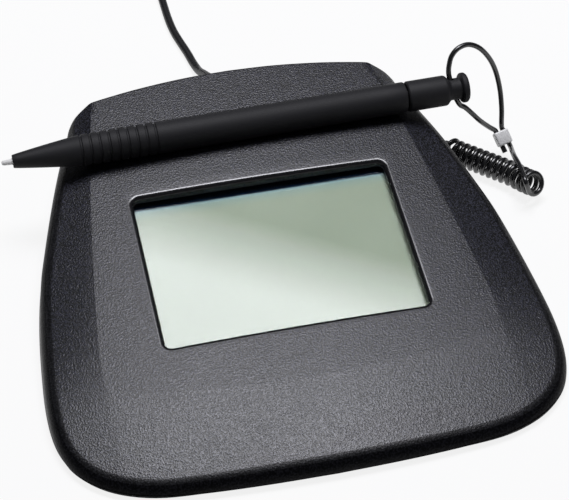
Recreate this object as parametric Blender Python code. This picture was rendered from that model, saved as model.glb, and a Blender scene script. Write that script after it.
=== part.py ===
"""Signature pad with a tethered pen, for Blender 4.5. Metres, +Z up.

The table is z = 0, x = 0 is the plane of symmetry of the housing, and +Y points away from the
person who signs. The face slopes down to the front. Pieces of the display stack are built flat
in the face frame, whose origin lies on the face above the middle of the display.
"""
import math

import bmesh
import bpy
import numpy as np
from mathutils import Matrix, Vector

GAP = 0.0003                     # clearance between pieces that touch or seat
OVERRUN = 0.002                  # how far every cutter runs past what it cuts

# Housing: the face
HALF_WIDTH = 0.0755
HALF_DEPTH = 0.0737
FACE_HEIGHT = 0.0180             # table to the face, under the middle of the display
FACE_SLOPE = math.radians(8.0)
CROWN_RADIUS = 1.0               # the face is a shallow barrel across its width
FACET_REAR_SETBACK = 0.0305      # widest point of the skirt to the facet edge, at the rear
FACET_FRONT_SETBACK = 0.0175     # the same where the side facets fade
FACE_REAR_HALF = HALF_WIDTH - FACET_REAR_SETBACK
FACE_FRONT_HALF = HALF_WIDTH - FACET_FRONT_SETBACK
FACET_BOW = 0.001                # how far the facet edges bow outward
FACET_REAR_SLOPE = math.radians(31.0)
FACET_MID_SLOPE = math.radians(11.0)
FACET_FRONT_SLOPE = math.radians(2.0)
FACET_SLOPE_SHARES = (-0.80, 0.0, 0.47, 0.93)   # of the half depth: where those slopes hold
PALM_REST_DEPTH = 0.0280         # front of the skirt to the crease, on the centre line
CREASE_Y = -HALF_DEPTH + PALM_REST_DEPTH
FACET_FADE = 0.0197              # crease to where the side facets' edges end
FACET_FRONT_Y = CREASE_Y + FACET_FADE
CREASE_RISE = 0.0071             # how far the crease sweeps back at the face's half width
CREASE_CORNER = 0.009            # the crease stops this far short of the facet edge
PALM_SLOPE = math.radians(3.0)   # steeper than the face by this much
PALM_RADIUS = 0.8

# Housing: the outline of the skirt, from the rear middle to the front middle
OUTLINE_SHARES = (
    (0.000, 1.013), (0.192, 1.007), (0.382, 0.990), (0.535, 0.968), (0.625, 0.951),
    (0.681, 0.935), (0.719, 0.901), (0.742, 0.855), (0.762, 0.804), (0.783, 0.747),
    (0.828, 0.593), (0.871, 0.434), (0.911, 0.275), (0.945, 0.124), (0.973, -0.081),
    (0.992, -0.300), (1.000, -0.477), (0.993, -0.613), (0.970, -0.714), (0.926, -0.801),
    (0.859, -0.871), (0.769, -0.926), (0.650, -0.965), (0.490, -0.985), (0.265, -0.998),
    (0.000, -1.004),
)
REAR_CORNER_END_SHARE = 0.788    # of the half depth
FRONT_CORNER_START_SHARE = -0.613
FRONT_CORNER_END_SHARE = -0.928
SKIRT_HEIGHT = 0.002             # table to the lower edge of the skirt
SIDE_DRAFT = math.radians(8.0)
REAR_DRAFT = math.radians(3.0)
EDGE_RADIUS = 0.0036             # roll of the side and front edges
REAR_EDGE_RADIUS = 0.0008
SHELL_WALL = 0.0022
REAR_BORDER = 0.0045             # rear edge to the first ring of the flat face

# Housing: points along each stretch of a ring, rear middle to front middle
REAR_STEPS = 6
REAR_CORNER_STEPS = 5
SIDE_STEPS = 10
FRONT_CORNER_STEPS = 6
FRONT_STEPS = 5
ROLL_STEPS = 3

# Display window
WINDOW_SIDE_BORDER = 0.0190      # facet edge, at the front of the face, to the window
WINDOW_HALF_WIDTH = FACE_FRONT_HALF - WINDOW_SIDE_BORDER
WINDOW_HALF_DEPTH = 0.02775
WINDOW_CORNER = 0.0020
RIM_RADIUS = 0.0015              # rounding where the face turns down into the recess
RIM_STEPS = 2
COLLAR_WALL = 0.0016
COLLAR_RELIEF = 0.00006          # the collar's edge to the shell's underside at the window's sides
COLLAR_DEPTH = SHELL_WALL + WINDOW_HALF_WIDTH ** 2 / (2 * CROWN_RADIUS) - COLLAR_RELIEF
GASKET_THICKNESS = 0.0004
GASKET_SETBACK = 0.0004
GASKET_WIDTH = 0.0018
GLASS_THICKNESS = 0.0010
GLASS_MARGIN = 0.0030            # glass past the window, each side
CELL_THICKNESS = 0.0016
CELL_MARGIN = 0.0015
DIFFUSER_THICKNESS = 0.0006
DIFFUSER_MARGIN = 0.0010
TRAY_FLOOR = 0.0010
TRAY_WALL = 0.0012
TRAY_RIM_STEP = 0.0007           # the collar's edge down to the top of the tray's rim
TRAY_RIM_DROP = COLLAR_DEPTH + TRAY_RIM_STEP
TRAY_NOTCH_HALF = 0.0150
LUG_LENGTH = 0.0065
LUG_HALF_WIDTH = 0.0028
LUG_THICKNESS = 0.0014
LUG_STEP = 0.0026                # the collar's edge down to the top of a lug
LUG_DROP = COLLAR_DEPTH + LUG_STEP
LUG_SETBACK = 0.00975            # window's front and rear edges to the lugs' middles
LUG_PLACE = WINDOW_HALF_DEPTH - LUG_SETBACK
POST_RADIUS = 0.0022

# Base
BASE_THICKNESS = 0.0015
COLUMN_RADIUS = 0.0042
COLUMN_HEIGHT = 0.0035           # skirt edge to the top of a screw column
COUNTERBORE_DEPTH = 0.0021
BOSS_RADIUS = 0.0034
REAR_SCREW_SETBACK = (0.0325, 0.0202)    # from the skirt's side and end to the rear case screws
FRONT_SCREW_SETBACK = (0.0235, 0.0237)
CASE_SCREW_PLACES = ((HALF_WIDTH - REAR_SCREW_SETBACK[0], HALF_DEPTH - REAR_SCREW_SETBACK[1]),
                     (HALF_WIDTH - FRONT_SCREW_SETBACK[0], -HALF_DEPTH + FRONT_SCREW_SETBACK[1]))
CASE_SCREW_RADIUS = 0.0009
CASE_SCREW_SHAFT = 0.0030
CASE_HEAD_RADIUS = 0.0024
CASE_HEAD_HEIGHT = 0.0014
FOOT_RADIUS = 0.0055
FOOT_BEVEL = 0.0004
FOOT_RECESS = 0.0006
REAR_FOOT_SETBACK = (0.0265, 0.0307)     # from the skirt's side and end to the rear feet
FRONT_FOOT_SETBACK = (0.0155, 0.0357)
FOOT_PLACES = ((HALF_WIDTH - REAR_FOOT_SETBACK[0], HALF_DEPTH - REAR_FOOT_SETBACK[1]),
               (HALF_WIDTH - FRONT_FOOT_SETBACK[0], -HALF_DEPTH + FRONT_FOOT_SETBACK[1]))

# Main board
BOARD_SIDE_ROOM = 0.0050         # board's side to the rear case screws' axes
BOARD_HALF_WIDTH = CASE_SCREW_PLACES[0][0] - BOARD_SIDE_ROOM
BOARD_DEPTH = 0.0515
BOARD_SETBACK = 0.0117           # rear of the skirt to the board's rear edge
BOARD_REAR_Y = HALF_DEPTH - BOARD_SETBACK
BOARD_FRONT_Y = BOARD_REAR_Y - BOARD_DEPTH
BOARD_THICKNESS = 0.0016
BOARD_HEIGHT = 0.0060            # table to the underside of the board
BOARD_INSET = 0.0040             # board edge to its screws
STANDOFF_RADIUS = 0.0024
SMALL_SCREW_RADIUS = 0.0007
SMALL_HEAD_RADIUS = 0.0015
SMALL_HEAD_HEIGHT = 0.0010
SMALL_SCREW_SHAFT = 0.0030
CHIP_SIZE = 0.0100
CHIP_HEIGHT = 0.0014
CHIP_X = 0.0180
CHIP_SETBACK = 0.0110            # board's rear edge to the middles of the chip and the crystal
CHIP_Y = BOARD_REAR_Y - CHIP_SETBACK
CRYSTAL_SIZE = (0.0100, 0.0040, 0.0030)
SOCKET_SIZE = (0.0320, 0.0045, 0.0020)
SOCKET_SETBACK = 0.0225          # board's rear edge to the ribbon socket's middle
SOCKET_Y = BOARD_REAR_Y - SOCKET_SETBACK
HEADER_SIZE = (0.0100, 0.0055, 0.0048)
HEADER_SETBACK = 0.0055          # board's rear edge to the header's middle
HEADER_Y = BOARD_REAR_Y - HEADER_SETBACK
RIBBON_HALF_WIDTH = 0.0130
RIBBON_THICKNESS = 0.0003
RIBBON_REACH = 0.0060            # how far the ribbon runs out before it turns down

# Pen
PEN_LENGTH = 0.1473
PEN_REAR_X = 0.0716
PEN_TIP_X = PEN_REAR_X - PEN_LENGTH
PEN_GRIP_RADIUS = 0.00490
PEN_REAR_RADIUS = 0.00482
PEN_NOSE_RADIUS = 0.00205
PEN_SHOULDER_RADIUS = 0.00475
PEN_SETBACK = 0.0265             # rear of the skirt to the pen's axis, along the face
PEN_FACE_V = HALF_DEPTH - PEN_SETBACK
PEN_EYE_AXIS = (-0.22, 0.41, 0.88)       # the tether's eye leans as the pen has rolled
GROOVE_DEPTH = 0.0014
GROOVE_RADIUS = 0.0080           # wider than the pen, which may lie askew in it
NIB_LENGTH = 0.0034
NIB_TIP_RADIUS = 0.00075
NIB_RADIUS = 0.0010
NIB_SHANK = 0.0090
CONE_LENGTH = 0.0206
RIB_COUNT = 9
RIB_PITCH = 0.00288
RIB_DEPTH = 0.00045
RIB_GROOVE_SHARE = 0.30          # of the pitch
BARREL_SETBACK = 0.0203          # pen's rear end to the end of the barrel
BARREL_END = PEN_LENGTH - BARREL_SETBACK
CAP_SEAM = 0.0006
SEAM_CHAMFER = 0.0004
CAP_SPIGOT_RADIUS = 0.0030
CAP_SPIGOT_LENGTH = 0.0080
SHOULDER_SETBACK = 0.0070        # pen's rear end to the end of the cap's body
CAP_SHOULDER = PEN_LENGTH - SHOULDER_SETBACK
CAP_CHAMFER = 0.0013
NECK_RADIUS = 0.0034
FLARE_SETBACK = 0.0029           # pen's rear end to the root of the flange's flare
FLANGE_START = PEN_LENGTH - FLARE_SETBACK
FLANGE_RADIUS = 0.00475
FLANGE_THICKNESS = 0.0016
FLANGE_BEVEL = 0.0005
PEN_YAW = math.radians(1.13)     # the pen lies a little askew in its cradle
TURN_SIDES = 22                  # facets round the pen's pieces
COLUMN_SIDES = 16                # facets round columns, bosses, heads and feet
SMALL_SIDES = 10                 # facets round small screws and their holes
GROOVE_SIDES = 48
EYE_SIDES = 14
FERRULE_SIDES = 24
FINE_CORD_STEPS = 2              # roundness of the short cords
WOUND_CORD_STEPS = 1             # roundness of the curled and coiled cords

# Tether
TETHER_DIAMETER = 0.00165
EYE_RADIUS = TETHER_DIAMETER / 2 + GAP
CURL_RADIUS = 0.00330            # middle line of the curly cord to the middle of its cord
CURL_GAP = 0.00054               # between neighbouring curls, on the inside of a bend
CURL_RUN_IN = 0.0045             # length over which the first curls grow
CURL_TIGHTEST_SHARE = 0.6        # curl radius over the bend's radius, at most
CURL_POINTS = 9                  # per turn
CURL_PHASE = math.radians(24.0)
FERRULE_SIZE = (0.00485, 0.0031, 0.0040)
FERRULE_BEVEL = 0.0003
TAIL_LENGTH = 0.0024
LOOP_POINTS = 44
BUSH_RADIUS = 0.0019
BUSH_FLANGE_RADIUS = 0.0027
BUSH_FLANGE = 0.0009
STOP_RADIUS = 0.0022
STOP_LENGTH = 0.0040
TETHER_HEIGHT = 0.0065           # table to the tether's hole in the side wall
TETHER_SETBACK = 0.0217          # rear of the skirt to the tether's hole
TETHER_WALL_Y = HALF_DEPTH - TETHER_SETBACK

# USB cable
CABLE_DIAMETER = 0.0028
CABLE_X = -0.0020
CABLE_HEIGHT = 0.0086
BOOT_NECK_RADIUS = 0.0032
BOOT_FLANGE_RADIUS = 0.0046
BOOT_FLANGE = 0.0012
BOOT_LENGTH = 0.0150
BOOT_ROOT_RADIUS = 0.0034
BOOT_TIP_RADIUS = 0.0021
BOOT_RIB_COUNT = 5
BOOT_GROOVE_SHARES = (0.5, 0.9)  # of the rib pitch: where each groove starts and ends
COIL_CENTRE = (-0.0316, 0.1910)
COIL_LAYERS = 4
COIL_TURNS = 3.75                # in each layer
COIL_STEP = 0.0033               # from turn to turn and from layer to layer
COIL_MID_RADIUS = 0.0168
COIL_POINTS = 20                 # per turn
COIL_RUN_ON = 2                  # points past the last turn
RUN_OUT_SHARES = (0.30, 0.60, 0.85)      # of the way round to the plug: points on the run-out
RUN_OUT_HASTE_SHARE = 1.6        # how much sooner than it turns the run-out moves outward
TIE_WIDTH = 0.0040
TIE_THICKNESS = 0.0008
TIE_ANGLE = math.radians(200.0)
TIE_CORNER_STEPS = 4
PLUG_BODY = (0.0160, 0.0080)     # width and height of the overmould
PLUG_BODY_LENGTH = 0.0200
PLUG_TAPER_LENGTH = 0.0090
PLUG_NECK = 0.0042               # across the neck where the cable enters
PLUG_NECK_END = 0.00504          # across the neck where the shoulder starts
PLUG_NECK_LENGTH = 0.0063
PLUG_SHOULDER = (0.0128, 0.0064)
PLUG_SHELL = (0.0120, 0.0045)
PLUG_SHELL_LENGTH = 0.0185
PLUG_SHELL_WALL = 0.0003
PLUG_TONGUE_HEIGHT = 0.0018
PLUG_CORNER = 0.0016
PLUG_CORNER_STEPS = 3

# Routes of the free stretches, as points on the table's frame
TETHER_START = (                 # from the wall to the first curl
    (0.0616, 0.0524, 0.0064), (0.0634, 0.0521, 0.0061), (0.0646, 0.0511, 0.0056),
)
TETHER_AXIS = (                  # middle line of the curly cord, from the wall to the last curl
    (0.0655, 0.0496, 0.0048), (0.0669, 0.0470, 0.0044), (0.0690, 0.0443, 0.0042),
    (0.0725, 0.0409, 0.0042), (0.0775, 0.0360, 0.0042), (0.0824, 0.0311, 0.0043),
    (0.0839, 0.0291, 0.0045), (0.0851, 0.0269, 0.0049), (0.0860, 0.0249, 0.0055),
    (0.0867, 0.0233, 0.0061), (0.0876, 0.0212, 0.0071),
)
TETHER_LEAD = (                  # from the last curl up to the ferrule
    (0.0835, 0.0190, 0.0105), (0.0837, 0.0230, 0.0110), (0.0840, 0.0277, 0.0105),
    (0.0845, 0.0338, 0.0088),
)
FERRULE_CENTRE = (0.0843, 0.0449, 0.0070)
FERRULE_AXIS = (0.26, -0.71, -0.65)
LOOP_LOWER = (                   # from the ferrule to the underside of the pen's neck
    (0.0798, 0.0464, 0.0113), (0.0762, 0.0453, 0.0155), (0.0733, 0.0453, 0.0191),
    (0.0710, 0.0456, 0.0217), (0.0693, 0.0457, 0.0230),
)
LOOP_UPPER = (                   # from the top of the neck over and down to the ferrule
    (0.0666, 0.0511, 0.0362), (0.0678, 0.0523, 0.0384), (0.0703, 0.0535, 0.0398),
    (0.0738, 0.0545, 0.0396), (0.0775, 0.0545, 0.0374), (0.0809, 0.0542, 0.0329),
    (0.0831, 0.0533, 0.0278), (0.0843, 0.0512, 0.0218), (0.0845, 0.0487, 0.0160),
    (0.0843, 0.0472, 0.0120),
)
CABLE_ROUTE = (                  # from the boot down to the table and back to the coil
    (-0.0023, 0.0962, 0.0076), (-0.0030, 0.1008, 0.0053), (-0.0038, 0.1060, 0.0027),
    (-0.0047, 0.1120, 0.0016), (-0.0056, 0.1180, 0.0015), (-0.0070, 0.1250, 0.0015),
    (-0.0080, 0.1310, 0.0015), (-0.0085, 0.1380, 0.0015), (-0.0086, 0.1460, 0.0015),
    (-0.0086, 0.1540, 0.0017), (-0.0086, 0.1640, 0.0021), (-0.0086, 0.1760, 0.0026),
)


# Plan curves

def curve_through(points, steps):
    """A smooth curve through the points, each span cut into equal steps."""
    pts = np.array(points, float)
    pts = np.vstack([2 * pts[0] - pts[1], pts, 2 * pts[-1] - pts[-2]])
    out = []
    for i in range(1, len(pts) - 2):
        p0, p1, p2, p3 = pts[i - 1:i + 3]
        for k in range(steps):
            t = k / steps
            out.append(0.5 * (2 * p1 + (p2 - p0) * t + (2 * p0 - 5 * p1 + 4 * p2 - p3) * t ** 2
                              + (3 * p1 - p0 - 3 * p2 + p3) * t ** 3))
    out.append(pts[-2])
    return np.array(out)


def run_along(points):
    """Distance along a line of points, at each point."""
    return np.r_[0.0, np.cumsum(np.linalg.norm(np.diff(points, axis=0), axis=1))]


def sample(points, start, stop, steps):
    """Evenly spaced points between two distances along a line of points."""
    run = run_along(points)
    at = np.linspace(start, stop, steps + 1)
    return np.column_stack([np.interp(at, run, points[:, k]) for k in range(points.shape[1])])


def smoothstep(t):
    t = min(max(t, 0.0), 1.0)
    return t * t * (3.0 - 2.0 * t)


# The moulded surface

def face_z(x, y):
    """Height of the crowned, sloping face."""
    return (FACE_HEIGHT + y * math.tan(FACE_SLOPE)
            - x * x / (2 * CROWN_RADIUS * math.cos(FACE_SLOPE)))


def rear_edge_y():
    """The face's rear edge at its corners."""
    return HALF_DEPTH * FACET_SLOPE_SHARES[3]


def facet_edge(y):
    """Half width of the face: outside it the side facets fall away."""
    t = (rear_edge_y() - y) / (rear_edge_y() - FACET_FRONT_Y)
    t = min(max(t, 0.0), 1.0)
    return FACE_REAR_HALF + (FACE_FRONT_HALF - FACE_REAR_HALF) * t + FACET_BOW * 4 * t * (1 - t)


def facet_slope(y):
    """Steep at the rear corner, easing to the front."""
    front, middle, back, rear = [HALF_DEPTH * s for s in FACET_SLOPE_SHARES]
    if y < middle:
        t = smoothstep((y - front) / (middle - front))
        return FACET_FRONT_SLOPE + (FACET_MID_SLOPE - FACET_FRONT_SLOPE) * t
    t = smoothstep((y - back) / (rear - back))
    return FACET_MID_SLOPE + (FACET_REAR_SLOPE - FACET_MID_SLOPE) * t


def crease_y(x):
    return CREASE_Y + CREASE_RISE * (x / FACE_FRONT_HALF) ** 2


def surface_z(x, y):
    """Height of the housing's top before its edge is rolled."""
    z = face_z(x, y)
    outside = abs(x) - facet_edge(y)
    if outside > 0:
        z -= math.tan(facet_slope(y)) * outside
    ahead = crease_y(x) - y
    if ahead > 0:
        z -= math.tan(PALM_SLOPE) * ahead + ahead * ahead / (2 * PALM_RADIUS)
    return z


class EdgePoint:
    """One point of the skirt's outline, with its inward direction, draft and edge roll."""

    def __init__(self, place, inward, softness):
        self.place = place
        self.inward = inward
        self.radius = REAR_EDGE_RADIUS + (EDGE_RADIUS - REAR_EDGE_RADIUS) * softness
        self.lean = math.tan(REAR_DRAFT + (SIDE_DRAFT - REAR_DRAFT) * softness)
        self.wall_inset = 0.0
        for _ in range(4):
            top = self.ground(self.wall_inset) - self.radius
            self.wall_inset = max(top - SKIRT_HEIGHT, 0.0) * self.lean
        self.wall_top = max(top, SKIRT_HEIGHT)

    def plan(self, inset):
        return self.place + self.inward * inset

    def ground(self, inset):
        x, y = self.plan(inset)
        return surface_z(x, y)

    def outer_z(self, inset):
        """Height of the outer surface at an inset from the skirt."""
        over = inset - self.wall_inset
        if over < 0:
            return SKIRT_HEIGHT + inset / self.lean
        if over > self.radius:
            return self.ground(inset)
        turn = math.acos(1 - over / self.radius)
        return self.ground(inset) - self.radius * (1 - math.sin(turn))

    def point(self, inset, z):
        x, y = self.plan(inset)
        return (x, y, z)


def outline_line():
    shares = np.array(OUTLINE_SHARES)
    return curve_through(shares * (HALF_WIDTH, HALF_DEPTH), 8)


def outline_points():
    """Edge points of the right half, from the rear middle to the front middle."""
    line = outline_line()
    run = run_along(line)
    on_rear = int(np.argmax(line[:, 0] >= FACE_REAR_HALF))
    marks = [0.0, run[on_rear]]
    for share in (REAR_CORNER_END_SHARE, FRONT_CORNER_START_SHARE, FRONT_CORNER_END_SHARE):
        marks.append(run[int(np.argmax(line[:, 1] <= share * HALF_DEPTH))])
    marks.append(run[-1])
    steps = (REAR_STEPS, REAR_CORNER_STEPS, SIDE_STEPS, FRONT_CORNER_STEPS, FRONT_STEPS)
    points = []
    for a, b, n in zip(marks, marks[1:], steps):
        points.extend(sample(line, a, b, n)[:-1])
    points.append(line[-1])
    slope = np.gradient(line, axis=0)
    result = []
    for i, p in enumerate(points):
        near = int(np.argmin(np.linalg.norm(line - p, axis=1)))
        along = slope[near] / np.linalg.norm(slope[near])
        inward = np.array([along[1], -along[0]])
        if i == 0:
            inward = np.array([0.0, -1.0])
        if i == len(points) - 1:
            inward = np.array([0.0, 1.0])
        softness = smoothstep((i - REAR_STEPS) / REAR_CORNER_STEPS)
        result.append(EdgePoint(p, inward, softness))
    return result


def face_border():
    """Border of the flat face, right half: rear edge, facet edge, corner and crease."""
    rear = rear_edge_y() - REAR_BORDER
    first = rear - REAR_CORNER_STEPS * REAR_BORDER / 2
    points = [(facet_edge(rear) * k / REAR_STEPS, rear) for k in range(REAR_STEPS)]
    for k in range(REAR_CORNER_STEPS):
        y = rear + (first - rear) * k / REAR_CORNER_STEPS
        points.append((facet_edge(y), y))
    for k in range(SIDE_STEPS):
        y = first + (FACET_FRONT_Y - first) * k / SIDE_STEPS
        points.append((facet_edge(y), y))
    end_x = FACE_FRONT_HALF - CREASE_CORNER
    end_y = crease_y(end_x)
    for k in range(FRONT_CORNER_STEPS):
        turn = math.pi / 2 * k / FRONT_CORNER_STEPS
        points.append((end_x + CREASE_CORNER * math.cos(turn),
                       FACET_FRONT_Y + (end_y - FACET_FRONT_Y) * math.sin(turn)))
    for k in range(FRONT_STEPS + 1):
        x = end_x * (1 - k / FRONT_STEPS)
        points.append((x, crease_y(x)))
    return points


def rounded_half(half_width, half_depth, corner):
    """Right half of a rounded rectangle with as many points as the other rings."""
    w, d, r = half_width, half_depth, corner
    points = [((w - r) * k / REAR_STEPS, d) for k in range(REAR_STEPS)]
    for k in range(REAR_CORNER_STEPS):
        turn = math.pi / 2 * (1 - k / REAR_CORNER_STEPS)
        points.append((w - r + r * math.cos(turn), d - r + r * math.sin(turn)))
    for k in range(SIDE_STEPS):
        points.append((w, (d - r) * (1 - 2 * k / SIDE_STEPS)))
    for k in range(FRONT_CORNER_STEPS):
        turn = -math.pi / 2 * k / FRONT_CORNER_STEPS
        points.append((w - r + r * math.cos(turn), -(d - r) + r * math.sin(turn)))
    for k in range(FRONT_STEPS + 1):
        points.append(((w - r) * (1 - k / FRONT_STEPS), -d))
    return points


def to_table(u, v, w):
    """A point of the face frame in the table's frame."""
    c, s = math.cos(FACE_SLOPE), math.sin(FACE_SLOPE)
    return (u, v * c - w * s, FACE_HEIGHT + v * s + w * c)


def window_ring(margin, drop, crowned=True):
    """Ring round the window, this far outside it and this far below the face."""
    half = rounded_half(WINDOW_HALF_WIDTH + margin, WINDOW_HALF_DEPTH + margin,
                        WINDOW_CORNER + margin)
    return [to_table(u, v, -drop - (u * u / (2 * CROWN_RADIUS) if crowned else 0.0))
            for u, v in half]


def whole_ring(half):
    """Both halves of a ring from its right half."""
    return list(half) + [(-x, y, z) for x, y, z in half[-2:0:-1]]


# Mesh helpers

def new_object(name, bm, finish):
    bmesh.ops.recalc_face_normals(bm, faces=bm.faces)
    mesh = bpy.data.meshes.new(name)
    bm.to_mesh(mesh)
    bm.free()
    obj = bpy.data.objects.new(name, mesh)
    bpy.context.scene.collection.objects.link(obj)
    if finish:
        mesh.materials.append(material(finish))
    mesh.shade_smooth()
    mesh.set_sharp_from_angle(angle=math.radians(30.0))
    return obj


FINISHES = {                     # colour, roughness, metallic
    "textured_black": ((0.045, 0.045, 0.048), 0.50, 0.0),
    "smooth_black": ((0.020, 0.020, 0.022), 0.40, 0.0),
    "soft_touch_black": ((0.022, 0.022, 0.024), 0.62, 0.0),
    "rubber_black": ((0.015, 0.015, 0.015), 0.80, 0.0),
    "cord_black": ((0.012, 0.012, 0.013), 0.25, 0.0),
    "nib_white": ((0.80, 0.80, 0.78), 0.35, 0.0),
    "glass": ((0.70, 0.80, 0.76), 0.03, 0.0),
    "display_green": ((0.42, 0.50, 0.38), 0.30, 0.0),
    "white_plastic": ((0.80, 0.80, 0.80), 0.45, 0.0),
    "board_green": ((0.03, 0.16, 0.07), 0.45, 0.0),
    "chip_black": ((0.03, 0.03, 0.03), 0.55, 0.0),
    "film_amber": ((0.55, 0.30, 0.06), 0.35, 0.0),
    "steel": ((0.62, 0.62, 0.64), 0.28, 1.0),
    "aluminium": ((0.80, 0.80, 0.81), 0.32, 1.0),
}


def material(finish):
    """The material of a finish, made once."""
    found = bpy.data.materials.get(finish)
    if found:
        return found
    colour, roughness, metallic = FINISHES[finish]
    made = bpy.data.materials.new(finish)
    made.use_nodes = True
    shader = made.node_tree.nodes["Principled BSDF"]
    shader.inputs["Base Color"].default_value = (*colour, 1.0)
    shader.inputs["Roughness"].default_value = roughness
    shader.inputs["Metallic"].default_value = metallic
    return made


def ring_solid(name, rings, finish):
    """A solid whose skin runs through closed rings and back to the first one."""
    bm = bmesh.new()
    loops = [[bm.verts.new(p) for p in ring] for ring in rings]
    for a, b in zip(loops, loops[1:] + loops[:1]):
        for i in range(len(a)):
            j = (i + 1) % len(a)
            bm.faces.new((a[i], a[j], b[j], b[i]))
    return new_object(name, bm, finish)


def capped_solid(name, rings, finish):
    """A solid through closed rings, closed by a flat face at each end."""
    bm = bmesh.new()
    loops = [[bm.verts.new(p) for p in ring] for ring in rings]
    for a, b in zip(loops, loops[1:]):
        for i in range(len(a)):
            j = (i + 1) % len(a)
            bm.faces.new((a[i], a[j], b[j], b[i]))
    bm.faces.new(loops[0])
    bm.faces.new(loops[-1])
    return new_object(name, bm, finish)


def box(name, low, high, finish):
    """A block between two corners."""
    size = [b - a for a, b in zip(low, high)]
    middle = [(a + b) / 2 for a, b in zip(low, high)]
    bm = bmesh.new()
    bmesh.ops.create_cube(bm, size=1.0)
    bmesh.ops.scale(bm, vec=size, verts=bm.verts)
    bmesh.ops.translate(bm, vec=middle, verts=bm.verts)
    return new_object(name, bm, finish)


def turned(name, profile, finish, sides=TURN_SIDES):
    """A solid turned about local X from (along, radius) points, bored where both ends have radius."""
    bm = bmesh.new()
    loops = []
    for along, radius in profile:
        if radius <= 0:
            loops.append([bm.verts.new((along, 0.0, 0.0))])
            continue
        turns = [2 * math.pi * k / sides for k in range(sides)]
        loops.append([bm.verts.new((along, radius * math.cos(t), radius * math.sin(t)))
                      for t in turns])
    for a, b in zip(loops, loops[1:]):
        for i in range(sides):
            j = (i + 1) % sides
            if len(a) == 1:
                bm.faces.new((a[0], b[i], b[j]))
            elif len(b) == 1:
                bm.faces.new((a[i], a[j], b[0]))
            else:
                bm.faces.new((a[i], a[j], b[j], b[i]))
    if len(loops[0]) > 1:
        bm.faces.new(loops[0])
    if len(loops[-1]) > 1:
        bm.faces.new(loops[-1])
    return new_object(name, bm, finish)


def along(direction):
    """Rotation that turns local X to a direction."""
    return Vector(direction).to_track_quat('X', 'Z').to_matrix().to_4x4()


def put(obj, place, direction):
    """Place an object by its origin, with its local X along a direction."""
    obj.matrix_world = Matrix.Translation(place) @ along(direction)
    return obj


def rod(name, start, stop, radius, finish, sides):
    """A round rod between two points."""
    reach = Vector(stop) - Vector(start)
    obj = turned(name, [(0.0, radius), (reach.length, radius)], finish, sides)
    return put(obj, start, reach)


def boolean(obj, tool, operation):
    """Cut a tool from an object, or join it on, and keep the tool out of the model."""
    tool.hide_render = True
    tool.display_type = 'WIRE'
    tool.hide_set(True)
    step = obj.modifiers.new(tool.name, 'BOOLEAN')
    step.operation = operation
    step.solver = 'EXACT'
    step.object = tool
    return obj


def cut(obj, tool):
    return boolean(obj, tool, 'DIFFERENCE')


def join(obj, tool):
    return boolean(obj, tool, 'UNION')


def tube(name, points, diameter, resolution, finish):
    """A cord: a poly curve with a round section and closed ends."""
    curve = bpy.data.curves.new(name, 'CURVE')
    curve.dimensions = '3D'
    curve.bevel_depth = diameter / 2
    curve.bevel_resolution = resolution
    curve.use_fill_caps = True
    spline = curve.splines.new('POLY')
    spline.points.add(len(points) - 1)
    for slot, p in zip(spline.points, points):
        slot.co = (*p, 1.0)
    obj = bpy.data.objects.new(name, curve)
    bpy.context.scene.collection.objects.link(obj)
    curve.materials.append(material(finish))
    return obj


def empty(name, place, rotation=(0.0, 0.0, 0.0)):
    obj = bpy.data.objects.new(name, None)
    obj.location = place
    obj.rotation_euler = rotation
    bpy.context.scene.collection.objects.link(obj)
    return obj


def least_gap(points, diameter, apart):
    """Least clear distance of a tube from itself, between stretches this far apart along it."""
    fine = []
    for a, b in zip(points, points[1:]):
        fine.extend([a + (b - a) * k / 4 for k in range(4)])
    fine = np.array(fine + [points[-1]])
    run = run_along(fine)
    least = 1.0
    for i in range(len(fine)):
        far = run > run[i] + apart
        if far.any():
            least = min(least, np.linalg.norm(fine[far] - fine[i], axis=1).min())
    return least - diameter


# Housing

def top_housing():
    """The moulded upper shell: skirt, rolled edge, facets, palm rest, recess collar and bosses."""
    edge = outline_points()
    border = face_border()
    border_ring = [(x, y, surface_z(x, y)) for x, y in border]
    rim = window_ring(RIM_RADIUS, 0.0)
    rings = [[e.point(0.0, SKIRT_HEIGHT) for e in edge],
             [e.point(e.wall_inset, e.wall_top) for e in edge]]
    for k in range(1, ROLL_STEPS + 1):
        turn = math.pi / 2 * k / ROLL_STEPS
        rings.append([e.point(e.wall_inset + e.radius * (1 - math.cos(turn)),
                              e.outer_z(e.wall_inset + e.radius * (1 - math.cos(turn))))
                      for e in edge])
    rings.append(halfway(rings[-1], border_ring))
    rings.append(border_ring)
    rings.append(halfway(border_ring, rim))
    rings.append(rim)
    for k in range(1, RIM_STEPS + 1):
        turn = math.pi / 2 * k / RIM_STEPS
        rings.append(window_ring(RIM_RADIUS * (1 - math.sin(turn)),
                                 RIM_RADIUS * (1 - math.cos(turn))))
    rings.append(window_ring(0.0, COLLAR_DEPTH, crowned=False))
    rings.append(window_ring(COLLAR_WALL, COLLAR_DEPTH, crowned=False))
    root = window_ring(COLLAR_WALL, SHELL_WALL)
    under = [(x, y, z - SHELL_WALL) for x, y, z in border_ring]
    rings.append(root)
    rings.append(halfway(root, under, lowered=SHELL_WALL))
    rings.append(under)
    seats = [seat_inset(e) for e in edge]
    rings.append([inner_point(e, max(e.radius + GAP, SHELL_WALL + REAR_EDGE_RADIUS)) for e in edge])
    rings.append([inner_point(e, max(SHELL_WALL, seat - e.wall_inset)) for e, seat in zip(edge, seats)])
    rings.append([e.point(seat, SKIRT_HEIGHT) for e, seat in zip(edge, seats)])
    shell = ring_solid("top_housing", [whole_ring(r) for r in rings], "textured_black")
    cut(shell, pen_groove())
    add_case_bosses(shell)
    add_tray_posts(shell)
    cut_cable_slot(shell)
    cut_tether_hole(shell)
    return shell


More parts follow.
